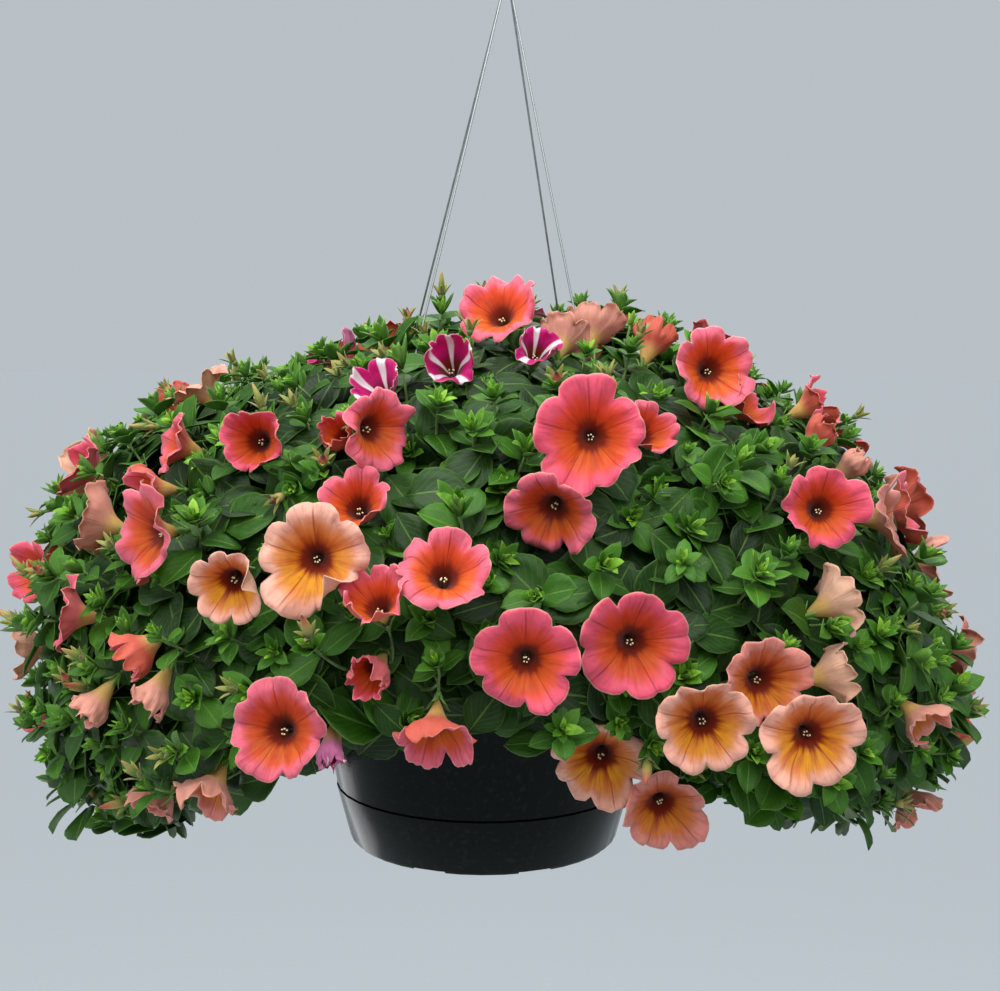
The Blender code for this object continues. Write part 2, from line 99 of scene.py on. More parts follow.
class BasketFoliageSettings(bpy.types.PropertyGroup):
    """Sizes and colours of the leaves and shoots."""

    shoot_spacing: FloatProperty(name="Shoot Spacing", description="Distance between neighbouring shoot tips",
        default=0.0250, min=0.015, max=0.08, unit="LENGTH")
    cover_spacing: FloatProperty(name="Cover Spacing",
        description="Distance between the old leaves that close the gaps below the shoots", default=0.0185, min=0.01,
        max=0.08, unit="LENGTH")
    tip_leaves: IntProperty(name="Tip Leaves", description="Number of young leaves in each shoot's rosette",
        default=14, min=5, max=24)
    # painted shade: this near-black green is partly the colour of old leaves and partly the shade deep in the plant
    old_leaf: colour_property("Old Leaf", "#0f2706", "Colour of the oldest, shaded leaves")
    grown_leaf: colour_property("Grown Leaf", "#2c5a0c", "Colour of a full-grown leaf")
    young_leaf: colour_property("Young Leaf", "#8abb36", "Colour of the newest leaves at the tips")
    stem: colour_property("Stem", "#5f8236", "Colour of the soft shoots")


class BasketBloomSettings(bpy.types.PropertyGroup):
    """Sizes and colours of the blooms."""

    coral: colour_property("Coral Petal", "#ee7688", "Outer colour of the coral blooms")
    rose: colour_property("Rose Petal", "#e8657a", "Outer colour of the rose blooms")
    peach: colour_property("Peach Petal", "#efb09c", "Outer colour of the peach blooms")
    salmon: colour_property("Salmon Petal", "#d98c80", "Outer colour of the salmon blooms")
    star: colour_property("Star Petal", "#c0186e", "Outer colour of the blooms with a white star")
    throat: colour_property("Throat", "#6a2a1a", "Colour deep in the flower's tube")


class BasketHardwareSettings(bpy.types.PropertyGroup):
    """Colours of the pot and its hanger."""

    pot: colour_property("Pot", "#090e0b", "Colour of the moulded pot and saucer")
    steel: colour_property("Steel", "#a9acad", "Colour of the galvanised wires and hook")


class BasketStageSettings(bpy.types.PropertyGroup):
    """Camera, floor and light."""

    lens: FloatProperty(name="Lens", description="Focal length of the camera in millimetres", default=60.9, min=20.0,
        max=200.0)
    backdrop: colour_property("Backdrop", "#bcc3c8", "Colour of the floor and of the room's light")


# ---- materials


def feed(node, inputs):
    """Gives a node's inputs their values, or links them to sockets or to other nodes' results."""
    for key, value in inputs.items() if isinstance(inputs, dict) else enumerate(inputs):
        if isinstance(value, bpy.types.Node):
            value = next(out for out in value.outputs if out.enabled)
        if isinstance(value, bpy.types.NodeSocket):
            node.id_data.links.new(value, node.inputs[key])
        else:
            node.inputs[key].default_value = value


def add(tree, kind, inputs=(), stops=(), **settings):
    """Adds a node with its settings, its colour stops and its values or links."""
    made = tree.nodes.new(kind if "Node" in kind else "ShaderNode" + kind)
    for key, value in settings.items():
        setattr(made, key, value)
    if stops:
        band = made.color_ramp.elements
        while len(band) < len(stops):
            band.new(1.0)
        for element, (position, colour) in zip(band, stops):
            element.position = position
            element.color = linear(colour)
    feed(made, inputs)
    return made


def new_finish(name, **constants):
    """A material, the way to add nodes to it, and its Principled shader with the finish's constant values."""
    finish = bpy.data.materials.new(name)
    finish.use_nodes = True
    shader = finish.node_tree.nodes["Principled BSDF"]
    feed(shader, {key.replace("_", " "): value for key, value in constants.items()})
    return finish, partial(add, finish.node_tree), shader


def from_middle(node, value):
    """How far a value from 0 to 1 is from its middle."""
    shifted = node("Math", (value, 0.5), operation="SUBTRACT")
    return node("Math", (shifted,), operation="ABSOLUTE")


def moulded_polypropylene(name, colour):
    """Injection-moulded polypropylene: semi-gloss, with soft flow marks, water spots and dust."""
    finish, node, shader = new_finish(name, IOR=1.49, Specular_IOR_Level=0.11)
    place = node("TexCoord").outputs["Object"]
    flow = node("Mapping", {"Vector": place, "Scale": (1.0, 1.0, 0.22)})
    # flow marks run up the wall, about 30 mm apart
    marks = node("TexNoise", {"Vector": flow, "Scale": 33.0, "Detail": 4.0})
    # dust and dried splashes, about 4 mm across
    dust = node("TexNoise", {"Vector": place, "Scale": 250.0, "Detail": 5.0})
    dusty = node("ValToRGB", {"Fac": dust}, stops=((0.54, (0, 0, 0, 1)), (0.82, (0.7, 0.7, 0.7, 1))))
    shade = node("Mix", {0: dusty, 6: colour, 7: linear("#232b29")}, data_type="RGBA")
    rough = node("MapRange", (marks, 0.3, 0.7, 0.12, 0.24))
    # the moulding's fine orange peel, about 1.5 mm
    peel = node("TexNoise", {"Vector": place, "Scale": 650.0, "Detail": 2.0})
    height = node("Math", (marks, peel), operation="ADD")
    relief = node("Bump", {"Height": height, "Strength": 0.14, "Distance": 0.0006})
    feed(shader, {"Base Color": shade, "Roughness": rough, "Normal": relief})
    return finish


def drawn_steel(name, colour, scale):
    """Drawn, galvanised steel wire: dull grey metal, cloudy with zinc bloom."""
    finish, node, shader = new_finish(name, Metallic=1.0)
    place = node("TexCoord").outputs["Object"]
    cloud = node("TexNoise", {"Vector": place, "Scale": scale, "Detail": 4.0})
    shade = node("Mix", {0: cloud, 6: tuple(0.55 * c for c in colour[:3]) + (1.0,), 7: colour}, data_type="RGBA")
    rough = node("MapRange", (cloud, 0.3, 0.7, 0.34, 0.55))
    relief = node("Bump", {"Height": cloud, "Strength": 0.15, "Distance": 0.0002})
    feed(shader, {"Base Color": shade, "Roughness": rough, "Normal": relief})
    return finish


def damp_compost(name):
    """Peat and composted bark: crumbly, matte and dark, with paler fibres and grit."""
    finish, node, shader = new_finish(name, Roughness=0.92)
    place = node("TexCoord").outputs["Object"]
    crumbs = node("TexVoronoi", {"Vector": place, "Scale": 260.0})
    lumps = node("TexNoise", {"Vector": place, "Scale": 90.0, "Detail": 6.0})
    mixed = node("Math", (crumbs, lumps), operation="MULTIPLY")
    shade = node("ValToRGB", {"Fac": mixed}, stops=((0.0, "#14100c"), (0.25, "#2e2118"), (0.5, "#5c4733")))
    relief = node("Bump", {"Height": mixed, "Strength": 0.8, "Distance": 0.003})
    feed(shader, {"Base Color": shade, "Normal": relief})
    return finish


def soft_stem(name, colour):
    """A soft, finely hairy shoot: matte green with paler patches and a velvety edge."""
    finish, node, shader = new_finish(name, Roughness=0.62, Sheen_Weight=0.25, Sheen_Roughness=0.4)
    place = node("TexCoord").outputs["Object"]
    patch = node("TexNoise", {"Vector": place, "Scale": 60.0, "Detail": 3.0})
    hairs = node("TexNoise", {"Vector": place, "Scale": 1400.0, "Detail": 2.0})
    shade = node("ValToRGB", {"Fac": patch}, stops=((0.32, "#3d5c2c"), (0.5, colour), (0.7, "#8fa865")))
    relief = node("Bump", {"Height": hairs, "Strength": 0.5, "Distance": 0.0004})
    feed(shader, {"Base Color": shade, "Normal": relief})
    return finish


def petunia_leaf(name, old, grown, young):
    """A soft, slightly sticky leaf: satin green, pale along its midrib, with a painted highlight along its rim,
    quilted between its veins; its darkest greens, on old and deep-set leaves, are partly painted shade.
    """
    finish, node, shader = new_finish(name, Subsurface_Weight=0.10, Subsurface_Scale=0.0010, Specular_IOR_Level=0.24)
    shader.inputs["Subsurface Radius"].default_value = (0.45, 1.0, 0.15)
    chart = node("UVMap", uv_map="UVMap")
    split = node("SeparateXYZ", (chart,))
    place = node("TexCoord").outputs["Object"]
    # the leaves' age value also carries painted shade: leaves set deep in the plant get low values and so darker
    # greens
    age_and_shade = node("Attribute", attribute_name="youth").outputs["Fac"]
    tint = node("Attribute", attribute_name="tint").outputs["Fac"]
    under = node("Attribute", attribute_name="under").outputs["Fac"]
    aside = from_middle(node, split.outputs["X"])
    # the midrib narrows towards the tip
    rib = node("MapRange", (aside, 0.010, 0.038, 1.0, 0.0), interpolation_type="SMOOTHSTEP")
    # painted highlight: a pale line along the leaf's edge stands in for light catching it
    rim = node("MapRange", (aside, 0.45, 0.5, 0.0, 0.55))
    # side veins leave the midrib about every 4 mm on a full-grown leaf and sweep forward
    sweep = node("Math", (aside, -1.1, split.outputs["Y"]), operation="MULTIPLY_ADD")
    rows = node("Math", (sweep, 6.5), operation="MULTIPLY")
    part = node("Math", (rows,), operation="FRACT")
    gap = from_middle(node, part)
    veins = node("MapRange", (gap, 0.0, 0.13, 0.30, 0.0))
    mottle = node("TexNoise", {"Vector": place, "Scale": 190.0, "Detail": 4.0})
    drift = node("Math", (mottle, 0.26, tint), operation="MULTIPLY_ADD")
    fresh = node("Math", (age_and_shade, drift), operation="ADD")
    # the darkest stop is partly old leaves' own colour and partly painted shade of the deep canopy
    green = node("ValToRGB", {"Fac": fresh}, stops=((0.08, old), (0.48, grown), (0.84, "#4a7d1e"), (1.0, young)))
    lines = node("Math", (rib, veins), operation="MAXIMUM")
    traced = node("Math", (lines, rim), operation="MAXIMUM")
    faint = node("Math", (traced, 0.30), operation="MULTIPLY")
    veined = node("Mix", {0: faint, 6: green, 7: linear("#86b04c")}, data_type="RGBA")
    paler = node("Math", (under, 0.32), operation="MULTIPLY")
    backed = node("Mix", {0: paler, 6: veined, 7: linear("#6f8f4e")}, data_type="RGBA")
    hairs = node("TexNoise", {"Vector": place, "Scale": 1500.0, "Detail": 2.0})
    rough = node("MapRange", (mottle, 0.3, 0.7, 0.40, 0.56))
    quilt = node("Math", (lines, -1.0, mottle), operation="MULTIPLY_ADD")
    grain = node("Math", (hairs, 0.25, quilt), operation="MULTIPLY_ADD")
    relief = node("Bump", {"Height": grain, "Strength": 0.45, "Distance": 0.0006})
    feed(shader, {"Base Color": backed, "Roughness": rough, "Normal": relief})
    return finish


def petunia_petal(name, edge, rest, throat):
    """A thin velvety petal: veins run in from each lobe, and the colour deepens through orange to a dark throat.

    rest holds the colours of the ring inside the edge, of the warm middle, of the glow below the mouth and of
    the petal's back, then how strongly the glow shows and whether the lobes carry a white star."""
    ring, warm, glow, back, glow_strength, starred = rest
    finish, node, shader = new_finish(name, Sheen_Weight=0.08, Sheen_Roughness=0.5, Subsurface_Weight=0.18,
        Subsurface_Scale=0.0016, Specular_IOR_Level=0.2)
    shader.inputs["Subsurface Radius"].default_value = (1.0, 0.45, 0.30)
    chart = node("UVMap", uv_map="UVMap")
    split = node("SeparateXYZ", (chart,))
    around, out = split.outputs["X"], split.outputs["Y"]
    tint = node("Attribute", attribute_name="tint").outputs["Fac"]
    behind = node("Attribute", attribute_name="under").outputs["Fac"]
    place = node("TexCoord").outputs["Object"]
    # streaks and fine veins run outwards, so their pattern is long along the petal and narrow around it
    wide = node("CombineXYZ", {"X": around, "Y": out, "Z": tint})
    streak_space = node("Mapping", {"Vector": wide, "Scale": (26.0, 2.2, 9.0)})
    streaks = node("TexNoise", {"Vector": streak_space, "Scale": 1.0, "Detail": 4.0})
    vein_space = node("Mapping", {"Vector": wide, "Scale": (95.0, 4.5, 9.0)})
    fine = node("TexNoise", {"Vector": vein_space, "Scale": 1.0, "Detail": 3.0})
    mottle = node("TexNoise", {"Vector": place, "Scale": 170.0, "Detail": 3.0})
    shift = node("Math", (streaks, 0.24, -0.12), operation="MULTIPLY_ADD")
    reach = node("Math", (out, shift), operation="ADD")
    stops = ((0.30, throat), (0.44, "#742512"), (0.54, warm), (0.70, ring), (0.84, edge), (1.0, edge))
    colour = node("ValToRGB", {"Fac": reach}, stops=stops)
    # a golden glow fills the lower half of the mouth
    lower = from_middle(node, around)
    below = node("MapRange", (lower, 0.12, 0.40, 1.0, 0.12), interpolation_type="SMOOTHSTEP")
    rise = node("MapRange", (reach, 0.46, 0.58, 0.0, 1.0), interpolation_type="SMOOTHSTEP")
    fall = node("MapRange", (reach, 0.66, 0.88, 1.0, 0.0), interpolation_type="SMOOTHSTEP")
    band = node("Math", (rise, fall), operation="MULTIPLY")
    glowing = node("Math", (band, below), operation="MULTIPLY")
    patchy = node("MapRange", (streaks, 0.34, 0.60, 0.15, glow_strength))
    golden = node("Math", (glowing, patchy), operation="MULTIPLY")
    warmed = node("Mix", {0: golden, 6: colour, 7: glow}, data_type="RGBA")
    # each lobe's middle vein is a dark line, about 0.6 mm wide at the rim
    turns = node("Math", (around, float(LOBES), 0.5), operation="MULTIPLY_ADD")
    lobe = node("Math", (turns,), operation="FRACT")
    aside = from_middle(node, lobe)
    line = node("MapRange", (aside, 0.006, 0.026, 0.62, 0.0))
    line_end = node("MapRange", (out, 0.86, 1.0, 1.0, 0.15))
    ribbed = node("Math", (line, line_end), operation="MULTIPLY")
    hair = node("MapRange", (fine, 0.52, 0.72, 0.0, 0.34))
    dark = node("Math", (ribbed, hair), operation="MAXIMUM")
    veined = node("Mix", {0: dark, 6: warmed, 7: linear("#8e2a22")}, data_type="RGBA")
    if starred:
        star = node("MapRange", (aside, 0.10, 0.16, 1.0, 0.0))
        veined = node("Mix", {0: star, 6: warmed, 7: linear("#f1e6ea")}, data_type="RGBA")
    pale = node("MapRange", (out, 0.965, 1.0, 0.0, 0.55))
    rimmed = node("Mix", {0: pale, 6: veined, 7: linear("#f3bfae")}, data_type="RGBA")
    # the back is dusky and fades to yellow-green on the tube
    tube = node("ValToRGB", {"Fac": out}, stops=((0.05, "#a9a85a"), (0.38, "#d3b36c"), (0.58, back), (1.0, back)))
    blush = node("Math", (fine, 0.45), operation="MULTIPLY")
    tube_veins = node("Mix", {0: blush, 6: tube, 7: ring}, data_type="RGBA")
    sided = node("Mix", {0: behind, 6: rimmed, 7: tube_veins}, data_type="RGBA")
    value = node("Math", (tint, 0.28, 0.50), operation="MULTIPLY_ADD")
    cloud = node("Math", (mottle, 0.34, value), operation="MULTIPLY_ADD")
    final = node("HueSaturation", {"Color": sided, "Value": cloud, "Saturation": 1.05})
    rough = node("MapRange", (mottle, 0.3, 0.7, 0.44, 0.60))
    ribs = node("Math", (line, -0.9, fine), operation="MULTIPLY_ADD")
    relief = node("Bump", {"Height": ribs, "Strength": 0.38, "Distance": 0.0007})
    feed(shader, {"Base Color": final, "Roughness": rough, "Normal": relief})
    return finish


def two_tone_tissue(name, stops, roughness):
    """Soft plant tissue whose colour runs from fresh to ripe along the piece, with a fine downy surface."""
    finish, node, shader = new_finish(name, Roughness=roughness, Sheen_Weight=0.15)
    place = node("TexCoord").outputs["Object"]
    ripe = node("Attribute", attribute_name="ripe").outputs["Fac"]
    patch = node("TexNoise", {"Vector": place, "Scale": 320.0, "Detail": 3.0})
    mixed = node("Math", (patch, 0.22, ripe), operation="MULTIPLY_ADD")
    shade = node("ValToRGB", {"Fac": mixed}, stops=stops)
    down = node("TexNoise", {"Vector": place, "Scale": 1500.0})
    relief = node("Bump", {"Height": down, "Strength": 0.35, "Distance": 0.0003})
    feed(shader, {"Base Color": shade, "Normal": relief})
    return finish


# ---- shared shapes


def direction(azimuth, elevation=0.0):
    """The unit vector at an azimuth from +X and an elevation, both in degrees."""
    a, e = radians(azimuth), radians(elevation)
    return Vector((cos(a) * cos(e), sin(a) * cos(e), sin(e)))


def anyhow(rng):
    """A random vector whose parts are each from -1 to 1."""
    return Vector([rng.uniform(-1, 1) for _ in range(3)])


def smooth_step(low, high, value):
    t = min(1.0, max(0.0, (value - low) / (high - low)))
    return t * t * (3 - 2 * t)


def smooth_value(values, along):
    """A smooth value through evenly spaced ones, along from 0 to 1."""
    last = len(values) - 1
    place = min(max(along, 0.0), 1.0) * last
    index = min(int(place), last - 1)
    t = place - index
    a, b, c, d = (values[max(0, min(last, index + k))] for k in (-1, 0, 1, 2))
    return 0.5 * (2 * b + (c - a) * t + (2 * a - 5 * b + 4 * c - d) * t * t + (3 * b - a - 3 * c + d) * t**3)


def aimed(place, along, towards):
    """A matrix whose +Y runs along one direction and whose +Z leans towards another."""
    y = along.normalized()
    z = towards - y * towards.dot(y)
    if z.length < 1e-4:
        z = y.orthogonal()
    z.normalize()
    x = y.cross(z)
    turned = Matrix((x, y, z)).transposed().to_4x4()
    turned.translation = place
    return turned


def mesh_of(name, bm):
    mesh = bpy.data.meshes.new(name)
    bm.to_mesh(mesh)
    bm.free()
    return mesh


def placed(name, contents):
    """A new object in the scene, at the origin."""
    holder = bpy.data.objects.new(name, contents)
    bpy.context.scene.collection.objects.link(holder)
    return holder


def tree_of(points):
    """A tree for finding the points near a place."""
    tree = KDTree(len(points))
    for index, point in enumerate(points):
        tree.insert(point, index)
    tree.balance()
    return tree


def finished(name, bm, finish, stands_for=()):
    """Turns a bmesh into one finished piece of the object."""
    mesh = mesh_of(name, bm)
    if not mesh.polygons:
        raise RuntimeError(f"{name} came out empty")
    mesh.shade_smooth()
    mesh.materials.append(finish)
    piece = placed(name, mesh)
    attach(piece, "root")
    if stands_for:
        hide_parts(*stands_for)
    return piece


def refinish(name, finish):
    """Gives a CAD shape its finish."""
    mesh = CAD[name].data
    mesh.materials.clear()
    mesh.materials.append(finish)


def closed_sheet(bm, thickness):
    """Gives an open sheet its thickness and marks the vertices of its underside, at lower z."""
    under = bm.verts.layers.float.new("under")
    bmesh.ops.recalc_face_normals(bm, faces=bm.faces)
    first = set(bm.verts)
    bmesh.ops.solidify(bm, geom=bm.faces[:], thickness=thickness)
    second = [v for v in bm.verts if v not in first]
    first = list(first)
    mean_first = sum(v.co.z for v in first) / len(first)
    mean_second = sum(v.co.z for v in second) / len(second)
    for v in first if mean_first < mean_second else second:
        v[under] = 1.0
    bmesh.ops.recalc_face_normals(bm, faces=bm.faces)


def leaf_template(name, columns, rows, breadth, blunt, petiole, cup, recurve, wave):
    """A closed leaf of length 1 along +Y, upper face towards +Z, for copying many times."""
    bm = bmesh.new()
    bm.loops.layers.uv.new("UVMap")
    bmesh.ops.create_grid(bm, x_segments=columns, y_segments=rows, size=0.5, calc_uvs=True)
    for v in bm.verts:
        across, along = v.co.x * 2, v.co.y + 0.5
        blade = max(0.0, (along - petiole) / (1 - petiole))
        half = 0.5 * breadth * sin(pi * blade**0.78) ** blunt
        half = max(half, 0.028 * (1 - smooth_step(0.7, 1.0, along)))
        ripple = wave * sin(along * 9.0 + (2.0 if across > 0 else 0.0)) * abs(across)
        v.co = (across * half, along, cup * half * abs(across) ** 1.3 - recurve * along**2 + ripple)
    bmesh.ops.remove_doubles(bm, verts=bm.verts, dist=1e-5)
    closed_sheet(bm, 0.014)
    for key in ("youth", "tint"):
        bm.verts.layers.float.new(key)
    return template_of(name, bm)


AT_REST = {}  # each template's own vertices, by the template's name


def template_of(name, bm):
    """Turns a bmesh into a template mesh, for copying many times."""
    mesh = mesh_of(name, bm)
    rest = np.empty(len(mesh.vertices) * 3, np.float32)
    mesh.vertices.foreach_get("co", rest)
    AT_REST[mesh.name] = rest.reshape(-1, 3)
    return mesh


def copy_in(bm, template, matrix, **values):
    """Adds a copy of a template at a matrix, with the named values on its vertices."""
    rest = AT_REST[template.name]
    turn = np.array(matrix, np.float32)
    template.vertices.foreach_set("co", (rest @ turn[:3, :3].T + turn[:3, 3]).ravel())
    for key, value in values.items():
        template.attributes[key].data.foreach_set("value", np.full(len(rest), value, np.float32))
    bm.from_mesh(template, face_normals=False, vertex_normals=False)


def tubes(name, routes):
    """A mesh of round tapering tubes: each route is a list of points and the radii at its two ends."""
    curve = bpy.data.curves.new(name, "CURVE")
    curve.dimensions = "3D"
    curve.bevel_depth = 1.0
    curve.bevel_resolution = 1
    curve.use_fill_caps = True
    for points, first, last in routes:
        line = curve.splines.new("POLY")
        line.points.add(len(points) - 1)
        for i, point in enumerate(points):
            line.points[i].co = (*point, 1.0)
            line.points[i].radius = first + (last - first) * i / (len(points) - 1)
    holder = placed(name, curve)
    bpy.context.view_layer.update()
    mesh = bpy.data.meshes.new_from_object(holder.evaluated_get(bpy.context.evaluated_depsgraph_get()))
    bpy.data.objects.remove(holder)
    bm = bmesh.new()
    bm.from_mesh(mesh)
    bmesh.ops.remove_doubles(bm, verts=bm.verts, dist=1e-6)
    bmesh.ops.recalc_face_normals(bm, faces=bm.faces)
    bpy.data.meshes.remove(mesh)
    return bm


@cache
def rounded_look():
    """Modifier nodes that shade a CAD shape's round faces smoothly and keep its true edges crisp."""
    group = bpy.data.node_groups.new("rounded look", "GeometryNodeTree")
    group.is_modifier = True
    for way in ("INPUT", "OUTPUT"):
        group.interface.new_socket("Geometry", in_out=way, socket_type="NodeSocketGeometry")
    source = add(group, "NodeGroupInput")
    angle = add(group, "GeometryNodeInputMeshEdgeAngle")
    slight = add(group, "FunctionNodeCompare", (angle, radians(32)), data_type="FLOAT", operation="LESS_THAN")
    welded = add(group, "GeometryNodeMergeByDistance", {0: source, "Distance": 1e-6})
    plain = add(group, "GeometryNodeRemoveAttribute", {0: welded, "Name": "custom_normal"})
    faces = add(group, "GeometryNodeSetShadeSmooth", (plain,), domain="FACE")
    edges = add(group, "GeometryNodeSetShadeSmooth", {0: faces, 2: slight}, domain="EDGE")
    add(group, "NodeGroupOutput", (edges,))
    return group


def bowed(start, lean, end, steps):
    """Points of a smooth bow from start to end that leaves towards lean."""
    return [start * (1 - t) ** 2 + lean * 2 * t * (1 - t) + end * t**2
        for t in (i / (steps - 1) for i in range(steps))]


def side_of(point):
    """The name of the plant whose side of the basket a point is on."""
    azimuth = degrees(atan2(point.y, point.x)) % 360
    return min(SIDES, key=lambda side: abs((azimuth - side[1] + 180) % 360 - 180))[0]


@cache
def cad_surface(kind):
    """The surface of the CAD nodes of one kind: the stems, or the leaf layer."""
    corners, faces = [], []
    for name in cad_names(kind):
        mesh = CAD[name].data
        start = len(corners)
        corners += [v.co.copy() for v in mesh.vertices]
        faces += [[start + i for i in p.vertices] for p in mesh.polygons]
    return BVHTree.FromPolygons(corners, faces)


def dome_surface(azimuth, height):
    """The point on the plant's outside at an azimuth and a height above the base, in degrees and millimetres."""
    out = direction(azimuth)
    level = Vector((0.0, 0.0, BASE + height * MM))
    hit = cad_surface("leaves_").ray_cast(level + out * 0.6, -out)[0]
    return hit if hit is not None else level + out * 0.2


# ---- blooms

Bloom = namedtuple("Bloom", "node mouth facing radius tone closing curls seed")

# folded lobes of the blooms that have a CAD node: bloom number, how far it closes, and each lobe's curl in degrees,
# the lobes counted clockwise from the top as a viewer sees them
SHAPED = {
    1: (0.10, (0, 10, 0, -10, 0)),
    2: (0.26, (15, 0, 0, 40, 20)),
    3: (0.05, (0, -8, 22, 0, 10)),
    5: (0.0, (0, 0, 30, 0, 0)),
    6: (0.22, (10, 0, 30, 20, 0)),
    7: (0.10, (0, 0, 0, 0, 0)),
    10: (0.18, (0, 0, 20, 0, 0)),
    11: (0.05, (0, 0, 10, 0, 0)),
    13: (0.0, (0, 0, 75, 0, 0)),
    14: (0.12, (15, 45, 0, 0, 0)),
    20: (0.18, (25, 0, 0, 0, 25)),
    23: (0.03, (0, -12, 0, 0, 0)),
    24: (0.35, (0, 0, 0, 30, 0)),
    25: (0.02, (0, 0, 0, 12, 0)),
    26: (0.35, (20, 0, 0, 0, 0)),
    27: (0.35, (0, 0, 0, 0, 0)),
}

# blooms without a CAD node: azimuth, height above the base, stand-off from the leaves, azimuth and elevation
# of the face, diameter, tone, and how far the flower has closed
MORE_BLOOMS = (
    (246, 284, 2, 238, 25, 34, "coral", 0.45),
    (252, 254, -6, 262, 35, 44, "coral", 0.15),
    (257, 208, 12, 250, 48, 50, "coral", 0.40),
    (332, 262, 4, 340, 40, 34, "salmon", 0.60),
    (330, 280, 4, 20, 50, 36, "coral", 0.60),
    (317, 333, 4, 60, 50, 42, "coral", 0.55),
    (308, 341, -4, 70, 45, 46, "salmon", 0.20),
    (288, 336, -2, 80, 40, 46, "salmon", 0.35),
    (292, 288, -2, 300, 30, 42, "coral", 0.20),
    (312, 196, 0, 20, 20, 46, "peach", 0.25),
    (309, 160, -2, 10, 10, 44, "peach", 0.25),
    (328, 44, 2, 320, -60, 44, "salmon", 0.60),
    (227, 163, 0, 190, -35, 44, "coral", 0.45),
    (231, 141, 2, 215, -55, 36, "salmon", 0.60),
    (220, 126, 2, 200, -50, 38, "salmon", 0.60),
    (222, 72, 2, 214, -45, 42, "salmon", 0.45),
    (239, 72, 2, 225, -55, 40, "salmon", 0.60),
    (216, 273, 0, 200, 20, 44, "coral", 0.20),
    (219, 249, 0, 205, 5, 40, "coral", 0.25),
    (251, 118, 2, 262, -50, 26, "star", 0.60),
    (320, 298, -4, 330, 30, 44, "coral", 0.25),
    (256, 166, -2, 250, -20, 40, "rose", 0.55),
    (246, 310, 0, 240, 45, 38, "star", 0.20),
    (278, 330, 4, 282, 42, 36, "star", 0.30),
    (165, 320, 2, 165, 60, 46, "star", 0.15),
    (80, 338, 0, 90, 70, 46, "star", 0.10),
)

# radius of the tube in millimetres, share of the flower's radius, and depth in millimetres, from tube end to rim
TUBE_RADIUS = (0.4, 2.3, 3.8, 3.6, 2.2, 1.0, 0.4, 0.0)
LIMB_SHARE = (0.0, 0.0, 0.01, 0.10, 0.31, 0.57, 0.80, 1.0)
DEPTH = (-26.0, -21.5, -17.2, -13.2, -9.4, -5.8, -2.5, -0.3)
HINGE = 0.66  # where a lobe starts to curl, along the petal


@cache
def blooms():
    """Every bloom of the plant, first those that stand for a CAD node and then the others."""
    tones = {row["node"]: row["material_slot"] for row in frame["record"]["subparts"]}
    found = []
    for name in cad_names("bloom_"):
        corners = {tuple(round(c, 6) for c in v.co) for v in CAD[name].data.vertices}
        corners = [Vector(c) for c in sorted(corners)]
        middle = sum(corners, Vector()) / len(corners)
        rim = sorted(corners, key=lambda c: (c - middle).length)[-2 * LOBES :]
        mouth = sum(rim, Vector()) / len(rim)
        number = int(name[-2:])
        closing, curls = SHAPED.get(number, (0.06, lobe_curls(number)))
        facing, radius = (mouth - middle).normalized(), max((c - mouth).length for c in rim)
        found.append(Bloom(name, mouth, facing, radius, tones[name].replace("petal_", ""), closing, curls, number))
    for i, (azimuth, height, stand_off, turn, tilt, size, tone, closing) in enumerate(MORE_BLOOMS):
        mouth = dome_surface(azimuth, height) + direction(azimuth, 15) * stand_off * MM
        found.append(Bloom(None, mouth, direction(turn, tilt), size * MM / 2, tone, closing, lobe_curls(i), 100 + i))
    # the sides and the back carry as many blooms, strewn with the older tones lower down
    rng = random.Random(77)
    for i in range(1500):
        azimuth, height = rng.uniform(-14, 194), rng.uniform(48, 336)
        mouth = dome_surface(azimuth, height) + direction(azimuth, 15) * rng.uniform(0, 6) * MM
        gap = rng.uniform(0.052, 0.090)
        if mouth.xy.length < 0.08 or any((mouth - other.mouth).length < gap for other in found):
            continue
        rise = (height - 48) / 288
        tone = rng.choices(("coral", "rose", "salmon", "peach"), (2 + 3 * rise, 1 + 2 * rise, 2, 2))[0]
        closing = rng.choice((0.02, 0.05, 0.08, 0.12, 0.2, 0.3)) + max(0.0, 0.25 - rise) * 1.2
        tilt = -38 + 95 * rise + rng.uniform(-18, 18)
        facing = direction(azimuth + rng.uniform(-28, 28), tilt)
        found.append(Bloom(None, mouth, facing, rng.uniform(21, 28) * MM, tone, closing, lobe_curls(i), 300 + i))
    return tuple(found)


def lobe_curls(seed):
    """How far each lobe of an open flower curls, in degrees: most lie flat and a few roll in or back."""
    rng = random.Random(seed + 50)
    return tuple(rng.choice((0, 0, 0, -14, 14, 28)) for _ in range(LOBES))


